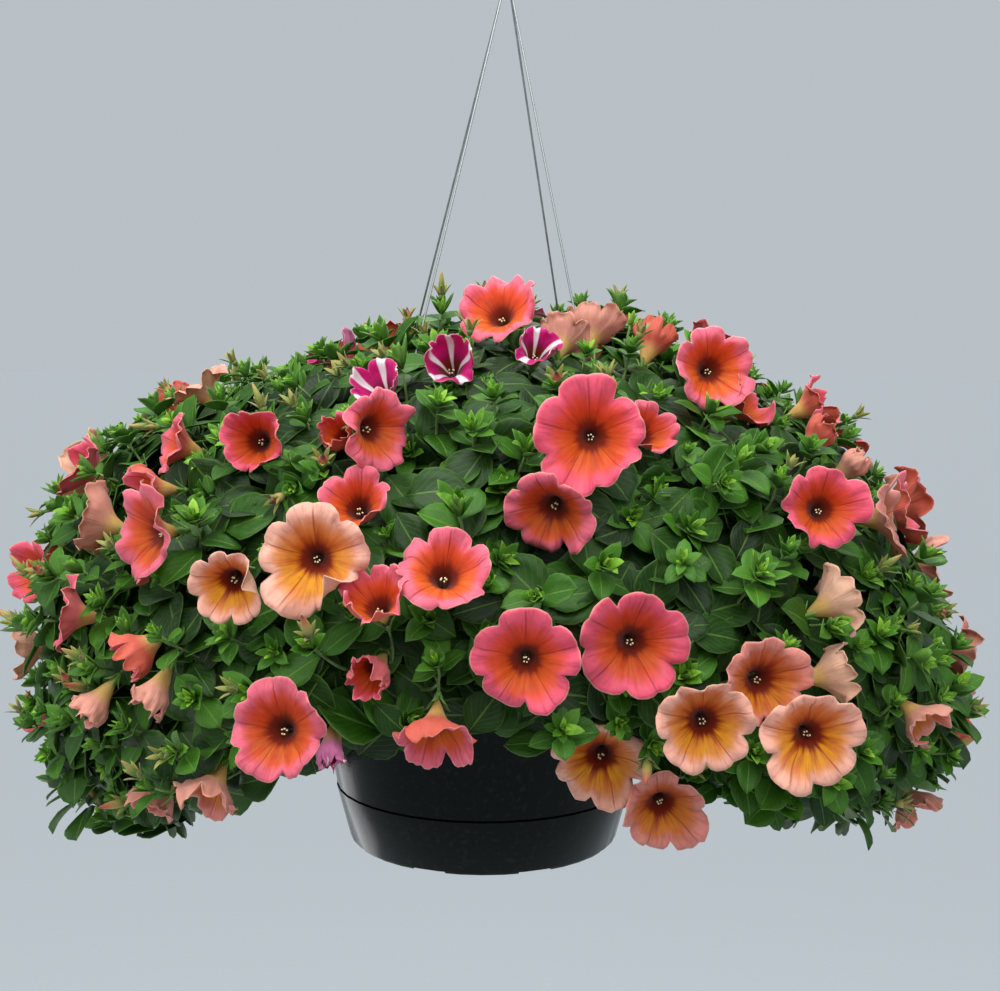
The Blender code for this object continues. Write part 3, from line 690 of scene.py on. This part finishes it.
def petal_point(around, out, bloom, rng_values):
    """Where a point of the petals lies in the flower's own frame, mouth at the origin and facing +Z."""
    bends, phases = rng_values
    lobe_place = around * LOBES
    lobe = int(math.floor(lobe_place + 0.5)) % LOBES
    x = (lobe_place + 0.5) % 1.0 - 0.5
    angle = around * tau
    limb = smooth_step(0.55, 1.0, out)
    radius = smooth_value(TUBE_RADIUS, out) * MM + smooth_value(LIMB_SHARE, out) * bloom.radius
    depth = smooth_value(DEPTH, out) * MM
    scale = bloom.radius / USUAL_RADIUS
    rim = 1.0 - 0.20 * abs(2 * x) ** 5 - 0.036 * exp(-((x / 0.07) ** 2)) + phases[lobe] * 0.085
    radius *= 1.0 + (rim - 1.0) * limb
    seat = -0.0036 * abs(2 * x) ** 5 * limb  # the notch between two lobes folds back
    seat -= 0.0008 * exp(-((x / 0.06) ** 2)) * smooth_step(0.4, 0.7, out)  # the middle vein is a groove
    seat += 0.0070 * bends[lobe] * cos(pi * x) * limb**2
    here = Vector((cos(angle), sin(angle), bloom.seed * 1.7))
    seat += 0.0080 * noise.noise(here * 1.9) * limb**2
    seat += 0.0040 * noise.noise(Vector((here.x * 5.5, here.y * 5.5, out * 3 + bloom.seed))) * limb
    seat -= 0.0026 * smooth_step(0.86, 1.0, out)  # the rim rolls back a little
    depth += seat * scale
    # curling and closing turn the outer petal about a hinge ring
    hinge_radius = smooth_value(TUBE_RADIUS, HINGE) * MM + smooth_value(LIMB_SHARE, HINGE) * bloom.radius
    hinge_depth = smooth_value(DEPTH, HINGE) * MM
    if out > HINGE:
        curl = radians(bloom.curls[lobe]) * cos(pi * x)
        curl += bloom.closing * (1.25 + 0.35 * bends[lobe] * cos(pi * x))
        curl *= smooth_step(HINGE, 1.0, out) ** 0.7
        across, along = radius - hinge_radius, depth - hinge_depth
        radius = hinge_radius + across * cos(curl) - along * sin(curl)
        depth = hinge_depth + across * sin(curl) + along * cos(curl)
    shrink = 1.0 - 0.42 * bloom.closing * smooth_step(0.3, 1.0, out)
    radius = max(radius * shrink, 0.0004 + 0.0012 * smooth_step(0.0, 0.14, out))
    if bloom.closing > 0.3:
        crumple = bloom.closing * 0.0065 * limb
        twist = noise.noise(Vector((here.x * 3.4, here.y * 3.4, out * 4.5 + bloom.seed)))
        radius += crumple * twist
        depth += crumple * noise.noise(Vector((here.y * 4.1, here.x * 4.1, out * 5.5 - bloom.seed)))
    return Vector((sin(angle) * radius, cos(angle) * radius, depth))


def flower_matrix(bloom):
    """Puts a flower's own frame at its place: +Z along its facing, and its first lobe up."""
    rng = random.Random(bloom.seed * 7 + 3)
    z = bloom.facing
    y = UP - z * z.z
    if y.length < 0.05:
        y = Vector((0.0, 1.0, 0.0)) - z * z.y
    y.normalize()
    turned = Matrix((y.cross(z), y, z)).transposed().to_4x4()
    turned.translation = bloom.mouth
    return turned @ Matrix.Rotation(rng.uniform(-0.28, 0.28), 4, "Z")


def add_petals(bm, bloom):
    """Adds one flower's fused petals, from the tube's end to the wavy rim, as a thin closed shell."""
    rng = random.Random(bloom.seed)
    bends = [rng.uniform(-1, 1) for _ in range(LOBES)]
    phases = [rng.uniform(-1, 1) for _ in range(LOBES)]
    tone = rng.uniform(0.35, 1.0)
    sheet = bmesh.new()
    sheet.loops.layers.uv.new("UVMap")
    tint = sheet.verts.layers.float.new("tint")
    bmesh.ops.create_grid(sheet, x_segments=PETAL_STEPS, y_segments=PETAL_ROWS, size=0.5, calc_uvs=True)
    for v in sheet.verts:
        v.co = petal_point(v.co.x + 0.5, v.co.y + 0.5, bloom, (bends, phases))
    bmesh.ops.remove_doubles(sheet, verts=sheet.verts, dist=1e-6)
    one_sided = tree_of([v.co for v in sheet.verts])
    closed_sheet(sheet, PETAL_THICKNESS)
    for v in sheet.verts:
        v[tint] = tone
        # a fold too tight for the wall's thickness throws a corner out, so it goes back beside its neighbour
        if one_sided.find(v.co)[2] > 3 * PETAL_THICKNESS:
            beside = (one_sided.find(e.other_vert(v).co) for e in v.link_edges)
            v.co = min(beside, key=lambda found: found[2])[0]
    bmesh.ops.transform(sheet, matrix=flower_matrix(bloom), verts=sheet.verts)
    mesh = mesh_of("petals", sheet)
    bm.from_mesh(mesh)
    bpy.data.meshes.remove(mesh)


PETAL_LOOKS = {
    # ring inside the edge, warm middle, glow, back, glow strength, white star
    "coral": ("#dc5644", "#b43a16", "#e2813a", "#cf6f60", 0.55, False),
    "rose": ("#da5248", "#b83c18", "#e07c38", "#d2777c", 0.45, False),
    "peach": ("#dc8458", "#b04c1a", "#eaa23c", "#ecc2aa", 1.0, False),
    "salmon": ("#c76a4a", "#9a381a", "#de8f38", "#dca292", 0.8, False),
    "star": ("#c4166c", "#8c1450", "#d8588c", "#d68ab0", 0.2, True),
}


def petal_finishes():
    settings = bpy.context.scene.basket_blooms
    made = {}
    for tone, look in PETAL_LOOKS.items():
        colours = [linear(c) for c in look[:4]]
        edge, throat = tuple(getattr(settings, tone)), tuple(settings.throat)
        made[tone] = petunia_petal("petunia petal, " + tone, edge, (*colours, *look[4:]), throat)
    return made


@cache
def mouths():
    """The flowers' mouths, for finding the ones near a point."""
    return tree_of([bloom.mouth for bloom in blooms()])


def in_a_bloom(point, margin=0.0, reach=VIEW_REACH):
    """Whether a point would stand in a flower, or within a reach in front of it."""
    for _, index, _ in mouths().find_range(point, 0.095):
        bloom = blooms()[index]
        offset = point - bloom.mouth
        ahead = offset.dot(bloom.facing)
        aside = (offset - bloom.facing * ahead).length
        if -0.024 < ahead <= 0.0:
            if aside < 0.004 + (bloom.radius - 0.004) * smooth_step(-0.024, 0.0, ahead) + margin:
                return True
        elif 0.0 < ahead < reach and aside < bloom.radius * (0.86 - 0.25 * ahead / VIEW_REACH) + margin:
            return True
    return False


def peg(bm, ripeness, matrix, segments, first, last, depth):
    """Adds a closed round peg of soft tissue along +Z, given its radii at both ends."""
    made = bmesh.ops.create_cone(bm, cap_ends=True, segments=segments, radius1=first, radius2=last,
        depth=depth, matrix=matrix)
    ripe = bm.verts.layers.float["ripe"]
    for v in made["verts"]:
        v[ripe] = ripeness


def calyx_template():
    """A small green cup with five narrow sepals, opening towards +Z."""
    sepal = leaf_template("sepal", 2, 4, 0.30, 0.8, 0.0, 0.5, 0.12, 0.0)
    bm = bmesh.new()
    for k in range(LOBES):
        turn = Matrix.Rotation(k * tau / LOBES + 0.3 * (k % 2), 4, "Z")
        lean = Matrix.Rotation(radians(61 + 4 * (k % 3)), 4, "X")
        copy_in(bm, sepal, turn @ Matrix.Translation((0, 0.0019, 0)) @ lean @ Matrix.Scale(0.0105, 4))
    ripe = bm.verts.layers.float.new("ripe")
    for v in bm.verts:
        v[ripe] = 0.45
    peg(bm, 0.25, Matrix.Translation((0, 0, -0.0012)), 10, 0.0011, 0.0027, 0.0036)
    bpy.data.meshes.remove(sepal)
    return template_of("calyx", bm)


# ---- buds

# length and width in millimetres, ripeness at the base and at the tip, and how sharply the tip tapers
BUD_KINDS = {
    "green": (9.0, 4.4, 0.05, 0.42, 0.8),
    "pale": (19.0, 4.2, 0.10, 0.62, 0.5),
    "coral": (24.0, 5.2, 0.15, 0.84, 0.6),
    "spent": (11.0, 5.6, 0.30, 1.0, 0.9),
}


def bud_template(kind):
    """A flower bud, or a spent calyx with its brown pod, on a short stalk that ends at the origin."""
    length, width, low, high, taper = BUD_KINDS[kind]
    calyx = calyx_template()
    bm = bmesh.new()
    stalk = 0.011
    copy_in(bm, calyx, Matrix.Translation((0, 0, stalk + 0.003)) @ Matrix.Scale(0.9, 4))
    ripe = bm.verts.layers.float["ripe"]
    body = bmesh.ops.create_uvsphere(bm, u_segments=10, v_segments=9, radius=1.0)["verts"]
    for v in body:
        along = (v.co.z + 1) / 2
        slim = 1.0 - taper * 0.75 * smooth_step(0.45, 1.0, along)
        furrow = 1.0 + 0.10 * cos(LOBES * atan2(v.co.y, v.co.x))
        v.co.x *= width * MM / 2 * slim * furrow
        v.co.y *= width * MM / 2 * slim * furrow
        v.co.z = stalk + along * length * MM
        v[ripe] = low + (high - low) * along
    peg(bm, 0.1, Matrix.Translation((0, 0, stalk / 2 + 0.0005)), 6, 0.0006, 0.0008, stalk + 0.002)
    bpy.data.meshes.remove(calyx)
    return template_of("bud " + kind, bm)


# ---- shoots and leaves

Shoot = namedtuple("Shoot", "node tip axis seed vigour")

# the lowest the plant hangs, in millimetres above the base, every 15 degrees from +X
HEM = (
    *(10, 4, 2, 8, 14, 20, 30, 34, 30, 20, 12, 8),
    *(10, 22, 40, 66, 104, 134, 100, 94, 76, 52, 36, 20),
)
# the lowest clear points of the front strands, where the plant closes round them
STRANDS_CLEAR = (Vector((0.044, -0.060, -0.404)), Vector((-0.049, -0.062, -0.385)))


@cache
def strewn_points(spacing, seed, depth):
    """Evenly strewn points on the plant's outside, pushed in by a depth: CAD node, point and outward normal."""
    rng = random.Random(seed)
    cells, found = {}, []
    for name in cad_names("leaves_"):
        faces, weights = [], []
        for face in CAD[name].data.polygons:
            out = face.center - HEART
            out.z *= 0.75
            out.normalize()
            if face.normal.dot(out) > 0.12:
                faces.append((face, out))
                weights.append(face.area)
        corners = CAD[name].data.vertices
        tries = int(sum(weights) / spacing**2 * 14)
        for face, out in rng.choices(faces, weights, k=tries):
            a, b, c = (corners[i].co for i in face.vertices)
            s, t = rng.random(), rng.random()
            if s + t > 1:
                s, t = 1 - s, 1 - t
            point = a + (b - a) * s + (c - a) * t
            key = tuple(int(math.floor(p / spacing)) for p in point)
            around = product(*((k - 1, k, k + 1) for k in key))
            near = (other for cell in around for other in cells.get(cell, ()))
            if any((point - other).length < spacing for other in near):
                continue
            cells.setdefault(key, []).append(point)
            normal = (face.normal + out * 1.2).normalized()
            found.append((name, point - normal * depth, normal))
    return found


@cache
def shoots():
    """Every leafy shoot that reaches the plant's outside."""
    spacing = bpy.context.scene.basket_foliage.shoot_spacing
    rng = random.Random(11)
    found = []
    for name, point, normal in strewn_points(spacing, 5, 0.0):
        lift = 0.45 + 0.9 * max(0.0, -normal.z)
        axis = normal + UP * lift + anyhow(rng) * 0.42
        axis.normalize()
        tip = point + axis * rng.uniform(-0.018, 0.005)
        seed = rng.randrange(1 << 30)
        vigour = rng.uniform(0.66, 1.22)
        if in_a_bloom(tip, 0.002) or in_a_bloom(tip + axis * 0.008) or normal.z < -0.5 or below_the_hem(tip):
            continue
        found.append(Shoot(name, tip, axis, seed, vigour))
    return tuple(found)


# breadth, bluntness, petiole, cup, recurve and wave of each leaf, as shares of its length
BROAD_LEAVES = (
    (0.84, 0.60, 0.10, 0.14, 0.12, 0.014),
    (0.78, 0.64, 0.08, 0.26, 0.26, 0.022),
    (0.88, 0.58, 0.12, 0.38, 0.02, 0.016),
    (0.68, 0.66, 0.08, 0.22, 0.16, 0.018),
)
TIP_LEAVES = (
    (0.40, 0.60, 0.02, 0.40, -0.04, 0.0),
    (0.46, 0.58, 0.02, 0.55, 0.22, 0.0),
    (0.34, 0.60, 0.02, 0.70, -0.26, 0.0),
)


def below_the_hem(point):
    """Whether a point hangs lower than the plant reaches there."""
    heights = HEM + HEM[:1]
    turn = degrees(atan2(point.y, point.x)) % 360 / 360
    return point.z < BASE + smooth_value(heights, turn) * MM


def before_a_strand(point):
    """Whether a point would hide the part of a strand that stands clear of the plant."""
    for foot in STRANDS_CLEAR:
        share = (point.z - foot.z) / -foot.z
        if 0 <= share <= 1:
            aside = point - foot * (1 - share)
            if abs(aside.x) < 0.006 and -0.055 < aside.y < 0.008:
                return True
    return False


def leaf_copy(bm, template, base, along, towards, length, youth, tint, thin=1.0, reach=VIEW_REACH):
    """Adds one leaf unless it would stand in a flower, before a strand or below the plant."""
    places = [base + along * length * share for share in (0.3, 0.55, 0.75, 0.95)]
    margin = 0.25 * length * thin if length > 0.016 else 0.0
    if below_the_hem(places[-1]) or any(map(before_a_strand, places)):
        return False
    if any(in_a_bloom(place, margin, reach) for place in places):
        return False
    matrix = aimed(base, along, towards) @ Matrix.Diagonal((length * thin, length, length, 1.0))
    copy_in(bm, template, matrix, youth=youth, tint=tint)
    return True


def leafy_shoot(bm, shoot, broad, narrow, tip_leaves):
    """Adds the rosette of young leaves at a shoot's tip and the pairs of larger leaves below it."""
    rng = random.Random(shoot.seed)
    axis = shoot.axis
    side = axis.orthogonal().normalized()
    turn = rng.uniform(0, tau)
    spread = rng.uniform(26, 66)
    for k in range(tip_leaves):
        share = k / (tip_leaves - 1)
        turn += 2.4 + rng.uniform(-0.2, 0.2)
        radial = side.copy()
        radial.rotate(Matrix.Rotation(turn, 3, axis))
        open_angle = radians(6 + spread * share**0.9 + rng.uniform(-8, 8))
        along = axis * cos(open_angle) + radial * sin(open_angle)
        length = (0.0062 + 0.0088 * share) * shoot.vigour * rng.uniform(0.8, 1.2)
        base = shoot.tip - axis * (0.0045 * share) + radial * 0.0007
        leaf_copy(bm, narrow[rng.randrange(len(narrow))], base, along, axis, length, 1.0 - 0.46 * share,
            rng.uniform(-0.18, 0.12), 0.72 + 0.58 * share)
    for pair in range(4):
        turn += pi / 2 + rng.uniform(-0.3, 0.3)
        for half in (0, 1):
            radial = side.copy()
            radial.rotate(Matrix.Rotation(turn + half * pi + rng.uniform(-0.25, 0.25), 3, axis))
            open_angle = radians(66 + 9 * pair + rng.uniform(-14, 14))
            along = (axis * cos(open_angle) + radial * sin(open_angle)).normalized()
            length = (0.0170 + 0.0040 * pair) * shoot.vigour * rng.uniform(0.85, 1.2)
            base = shoot.tip - axis * (0.007 + 0.0068 * pair) + radial * 0.001
            towards = axis + UP * 0.35
            leaf_copy(bm, broad[rng.randrange(len(broad))], base, along, towards, length,
                0.44 - 0.10 * pair + rng.uniform(-0.05, 0.08), rng.uniform(-0.16, 0.12))


def cover_leaf(bm, point, normal, broad, rng, size, reach):
    """Adds one old, shaded leaf that faces outwards below the shoots; its low age value darkens it as painted shade.
    """
    lean = Vector((rng.uniform(-1, 1), rng.uniform(-1, 1), rng.uniform(-1, 0.4)))
    along = lean - normal * lean.dot(normal)
    if along.length < 0.1:
        along = normal.orthogonal()
    along = (along.normalized() + normal * rng.uniform(-0.15, 0.45)).normalized()
    length = rng.uniform(0.024, 0.036) * size
    # painted shade: a low age value gives these deep leaves the darkest greens, partly their age and partly the
    # shade among the shoots
    leaf_copy(bm, broad[rng.randrange(len(broad))], point - along * length * 0.5, along, normal + UP * 0.3, length,
        rng.uniform(0.0, 0.22), rng.uniform(-0.16, 0.06), reach=reach)


# ---- the stage

CAMERA_PLACE = (-0.0026, -1.1, -0.258)
CAMERA_PITCH, CAMERA_ROLL = 83.4, 0.33
FLOOR_HEIGHT, FLOOR_RADIUS = -2.2, 45.0
LIT_POINT = Vector((0, 0, -0.42))  # where every lamp points
LAMPS = (
    # name, place, size and power in watts
    ("overhead softbox", (-0.4, -0.6, 1.5), (2.0, 2.0), 54.0),
    ("front softbox", (0.6, -2.3, 1.3), (1.6, 1.6), 26.0),
    ("left softbox", (-1.9, -0.7, 0.1), (0.7, 2.0), 12.0),
    ("back fill", (0.7, 2.2, 1.1), (2.0, 1.6), 26.0),
    ("low side card", (-1.15, 1.1, -1.25), (0.8, 1.1), 4.0),
)

# ---- operators


class BASKET_OT_stage(bpy.types.Operator):
    """Set the camera, the pale floor and the soft light"""

    bl_idname = "basket.stage"
    bl_label = "Set the Stage"

    def execute(self, context):
        settings = context.scene.basket_stage
        scene = context.scene
        camera = placed("camera", bpy.data.cameras.new("camera"))
        camera.data.lens = settings.lens
        camera.data.sensor_width = 36.0
        camera.data.clip_start, camera.data.clip_end = 0.05, 60.0
        turned = Matrix.Rotation(radians(CAMERA_PITCH), 4, "X") @ Matrix.Rotation(radians(CAMERA_ROLL), 4, "Z")
        camera.matrix_world = Matrix.Translation(CAMERA_PLACE) @ turned
        scene.camera = camera
        world = bpy.data.worlds.new("soft room light")
        scene.world = world
        world.use_nodes = True
        backdrop = tuple(settings.backdrop)
        feed(world.node_tree.nodes["Background"], {"Color": backdrop, "Strength": 0.97})
        scene.view_settings.view_transform = "Standard"
        bm = bmesh.new()
        bmesh.ops.create_circle(bm, cap_ends=True, segments=96, radius=FLOOR_RADIUS)
        bmesh.ops.translate(bm, vec=(0, 0, FLOOR_HEIGHT), verts=bm.verts)
        floor = placed("floor", mesh_of("floor", bm))
        # a lit studio floor, whose glow meets the backdrop without a line
        finish, node, shader = new_finish("painted plaster floor", Roughness=0.9, Emission_Color=backdrop,
            Emission_Strength=0.628)
        place = node("TexCoord").outputs["Object"]
        grain = node("TexNoise", {"Vector": place, "Scale": 60.0, "Detail": 3.0})
        shade = node("Mix", {0: grain, 6: linear("#8c9194"), 7: linear("#94999c")}, data_type="RGBA")
        relief = node("Bump", {"Height": grain, "Strength": 0.2, "Distance": 0.002})
        feed(shader, {"Base Color": shade, "Normal": relief})
        floor.data.materials.append(finish)
        for name, place, size, power in LAMPS:
            lamp = bpy.data.lights.new(name, "AREA")
            lamp.shape = "RECTANGLE"
            lamp.size, lamp.size_y = size
            lamp.energy = power
            holder = placed(name, lamp)
            holder.location = place
            holder.rotation_euler = (LIT_POINT - Vector(place)).to_track_quat("-Z", "Y").to_euler()
        return {"FINISHED"}


class BASKET_OT_hardware(bpy.types.Operator):
    """Give the pot, its saucer, the soil and the hanger their finishes"""

    bl_idname = "basket.hardware"
    bl_label = "Finish Pot and Hanger"

    def execute(self, context):
        settings = context.scene.basket_hardware
        steel = tuple(settings.steel)
        plastic = moulded_polypropylene("moulded polypropylene", tuple(settings.pot))
        strand = drawn_steel("drawn galvanised wire", steel, 220.0)
        finishes = {"pot": plastic, "drip_saucer": plastic, "soil": damp_compost("damp peat compost"),
            "hanger_hook": drawn_steel("thick galvanised wire", steel, 300.0),
            "hanger_ferrule": drawn_steel("pressed aluminium sleeve", linear("#c9cacb"), 500.0)}
        finishes.update(dict.fromkeys(cad_names("hanger_wire_"), strand))
        for name, finish in finishes.items():
            refinish(name, finish)
            CAD[name].modifiers.new("rounded look", "NODES").node_group = rounded_look()
        return {"FINISHED"}


class BASKET_OT_stems(bpy.types.Operator):
    """Give the main stems their finish and grow the side shoots and flower stalks from them"""

    bl_idname = "basket.stems"
    bl_label = "Grow Shoots and Stalks"

    def execute(self, context):
        finish = soft_stem("soft hairy shoot", tuple(context.scene.basket_foliage.stem))
        stems = cad_surface("stems_")
        routes = {side: [] for side, _ in SIDES}
        for side, _ in SIDES:
            refinish("stems_" + side, finish)
        for shoot in shoots():
            inner = shoot.tip - shoot.axis * 0.045
            root = stems.find_nearest(inner)[0]
            routes[side_of(shoot.tip)].append((bowed(shoot.tip, inner, root, 8), 0.0007, 0.0012))
        for bloom in blooms():
            start = bloom.mouth + bloom.facing * (TUBE_END - 0.003)
            lean = start - bloom.facing * 0.03 - UP * 0.006
            root = stems.find_nearest(lean)[0]
            routes[side_of(bloom.mouth)].append((bowed(start, lean, root, 9), 0.0008, 0.0010))
        for side, lines in routes.items():
            finished("shoots_" + side, tubes("shoots_" + side, lines), finish)
        return {"FINISHED"}


class BASKET_OT_leaves(bpy.types.Operator):
    """Cover every clump with leafy shoots and old leaves"""

    bl_idname = "basket.leaves"
    bl_label = "Grow Leaves"

    def execute(self, context):
        settings = context.scene.basket_foliage
        colours_by_age_and_shade = (tuple(getattr(settings, age_and_shade)) for age_and_shade in ("old_leaf", "grown_leaf", "young_leaf"))
        finish = petunia_leaf("petunia leaf", *colours_by_age_and_shade)
        broad = [leaf_template(f"broad leaf {i}", 4, 6, *shape) for i, shape in enumerate(BROAD_LEAVES)]
        narrow = [leaf_template(f"tip leaf {i}", 2, 5, *shape) for i, shape in enumerate(TIP_LEAVES)]
        clumps = {name: bmesh.new() for name in cad_names("leaves_")}
        for shoot in shoots():
            leafy_shoot(clumps[shoot.node], shoot, broad, narrow, settings.tip_leaves)
        rng = random.Random(23)
        # the outer layer keeps clear of the view into each flower, and the inner one only of the flower
        for depth, seed, size, reach in ((0.016, 31, 1.0, VIEW_REACH), (0.034, 37, 1.25, 0.004)):
            for name, point, normal in strewn_points(settings.cover_spacing, seed, depth):
                cover_leaf(clumps[name], point, normal, broad, rng, size, reach)
        for name, bm in clumps.items():
            finished(name.replace("leaves_", "foliage_"), bm, finish, (name,))
        for mesh in broad + narrow:
            bpy.data.meshes.remove(mesh)
        return {"FINISHED"}


class BASKET_OT_blooms(bpy.types.Operator):
    """Open every flower: fused petals, stamens and calyx"""

    bl_idname = "basket.blooms"
    bl_label = "Open the Blooms"

    def execute(self, context):
        finishes = petal_finishes()
        extra = {}
        for bloom in blooms():
            if bloom.node:
                bm = bmesh.new()
                add_petals(bm, bloom)
                name = bloom.node.replace("bloom", "petals")
                finished(name, bm, finishes[bloom.tone], (bloom.node,))
            else:
                bm = extra.setdefault(bloom.tone, bmesh.new())
                add_petals(bm, bloom)
        for tone, bm in extra.items():
            finished("petals_more_" + tone, bm, finishes[tone])
        self.stamens()
        self.calyces()
        return {"FINISHED"}

    def stamens(self):
        """Five cream anthers on thin filaments stand in each open throat."""
        finish = two_tone_tissue("pollen-dusted anther", ((0.1, "#4e2a1a"), (0.6, "#efe2a0"), (1.0, "#f6efc6")), 0.7)
        bm = bmesh.new()
        ripe = bm.verts.layers.float.new("ripe")
        for bloom in blooms():
            if bloom.closing > 0.5:
                continue
            rng = random.Random(bloom.seed + 900)
            flower = flower_matrix(bloom)
            for k in range(LOBES):
                turn = k * tau / LOBES + rng.uniform(-0.3, 0.3)
                spot = Vector((cos(turn) * 0.0014, sin(turn) * 0.0014 - 0.0007, rng.uniform(-0.0155, -0.0128)))
                oval = flower @ Matrix.Translation(spot) @ Matrix.Diagonal((0.75, 0.75, 1.15, 1.0))
                for v in bmesh.ops.create_icosphere(bm, subdivisions=1, radius=0.00075, matrix=oval)["verts"]:
                    v[ripe] = 0.75
                thread = flower @ Matrix.Translation(spot - Vector((0, 0, 0.0060)))
                peg(bm, 0.0, thread, 5, 0.00025, 0.0002, 0.011)
        finished("stamens", bm, finish)

    def calyces(self):
        """Five green sepals and a small cup hold each flower's tube."""
        finish = two_tone_tissue("downy sepal", ((0.0, "#3f6c22"), (0.55, "#5f8f2c"), (1.0, "#a8a44a")), 0.6)
        calyx = calyx_template()
        cups = {side: bmesh.new() for side, _ in SIDES}
        for bloom in blooms():
            size = bloom.radius / USUAL_RADIUS
            flower = flower_matrix(bloom) @ Matrix.Translation((0, 0, TUBE_END - 0.0012))
            copy_in(cups[side_of(bloom.mouth)], calyx, flower @ Matrix.Diagonal((size, size, size, 1.0)))
        for side, bm in cups.items():
            finished("calyces_" + side, bm, finish)
        bpy.data.meshes.remove(calyx)


class BASKET_OT_buds(bpy.types.Operator):
    """Set flower buds and spent calyces among the shoot tips"""

    bl_idname = "basket.buds"
    bl_label = "Set the Buds"

    def execute(self, context):
        finish = two_tone_tissue("ripening bud", ((0.10, "#35591a"), (0.45, "#617f28"), (0.66, "#aa964e"),
            (0.86, "#b9543e"), (1.0, "#4a2f1a")), 0.58)
        kinds = {kind: bud_template(kind) for kind in BUD_KINDS}
        twigs = {side: bmesh.new() for side, _ in SIDES}
        rng = random.Random(41)
        for shoot in shoots():
            lean = anyhow(rng)
            kind = rng.choices(tuple(BUD_KINDS), (6, 2, 1, 3))[0]
            if rng.random() > 0.28:
                continue
            aim = (shoot.axis + lean * 0.45).normalized()
            base = shoot.tip - shoot.axis * 0.006
            if in_a_bloom(base + aim * 0.02, 0.002) or in_a_bloom(base + aim * 0.034):
                continue
            place = aimed(base, aim, UP) @ Matrix.Rotation(radians(-90), 4, "X")
            copy_in(twigs[side_of(shoot.tip)], kinds[kind], place)
        for side, bm in twigs.items():
            finished("buds_" + side, bm, finish)
        for mesh in kinds.values():
            bpy.data.meshes.remove(mesh)
        return {"FINISHED"}


class BASKET_PT_panel(bpy.types.Panel):
    """Sizes, colours and steps of the hanging basket"""

    bl_label = "Petunia Hanging Basket"
    bl_idname = "BASKET_PT_panel"
    bl_space_type = "VIEW_3D"
    bl_region_type = "UI"
    bl_category = "Hanging Basket"

    def draw(self, context):
        layout = self.layout
        for step, group in STEPS:
            layout.operator(step)
            if group:
                settings = getattr(context.scene, group)
                for key in settings.__annotations__:
                    layout.prop(settings, key)


STEPS = (
    ("basket.stage", "basket_stage"),
    ("basket.hardware", "basket_hardware"),
    ("basket.stems", None),
    ("basket.leaves", "basket_foliage"),
    ("basket.blooms", "basket_blooms"),
    ("basket.buds", None),
)
GROUPS = {
    "basket_stage": BasketStageSettings,
    "basket_hardware": BasketHardwareSettings,
    "basket_foliage": BasketFoliageSettings,
    "basket_blooms": BasketBloomSettings,
}
CLASSES = (
    *GROUPS.values(),
    BASKET_OT_stage,
    BASKET_OT_hardware,
    BASKET_OT_stems,
    BASKET_OT_leaves,
    BASKET_OT_blooms,
    BASKET_OT_buds,
    BASKET_PT_panel,
)


def register():
    for kind in CLASSES:
        bpy.utils.register_class(kind)
    for key, kind in GROUPS.items():
        setattr(bpy.types.Scene, key, PointerProperty(type=kind))


def unregister():
    for key in GROUPS:
        delattr(bpy.types.Scene, key)
    for kind in reversed(CLASSES):
        bpy.utils.unregister_class(kind)


def main():
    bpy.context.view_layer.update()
    register()
    for step, _ in STEPS:
        group, name = step.split(".")
        getattr(getattr(bpy.ops, group), name)()
    bpy.context.view_layer.update()


if __name__ == "__main__":
    main()
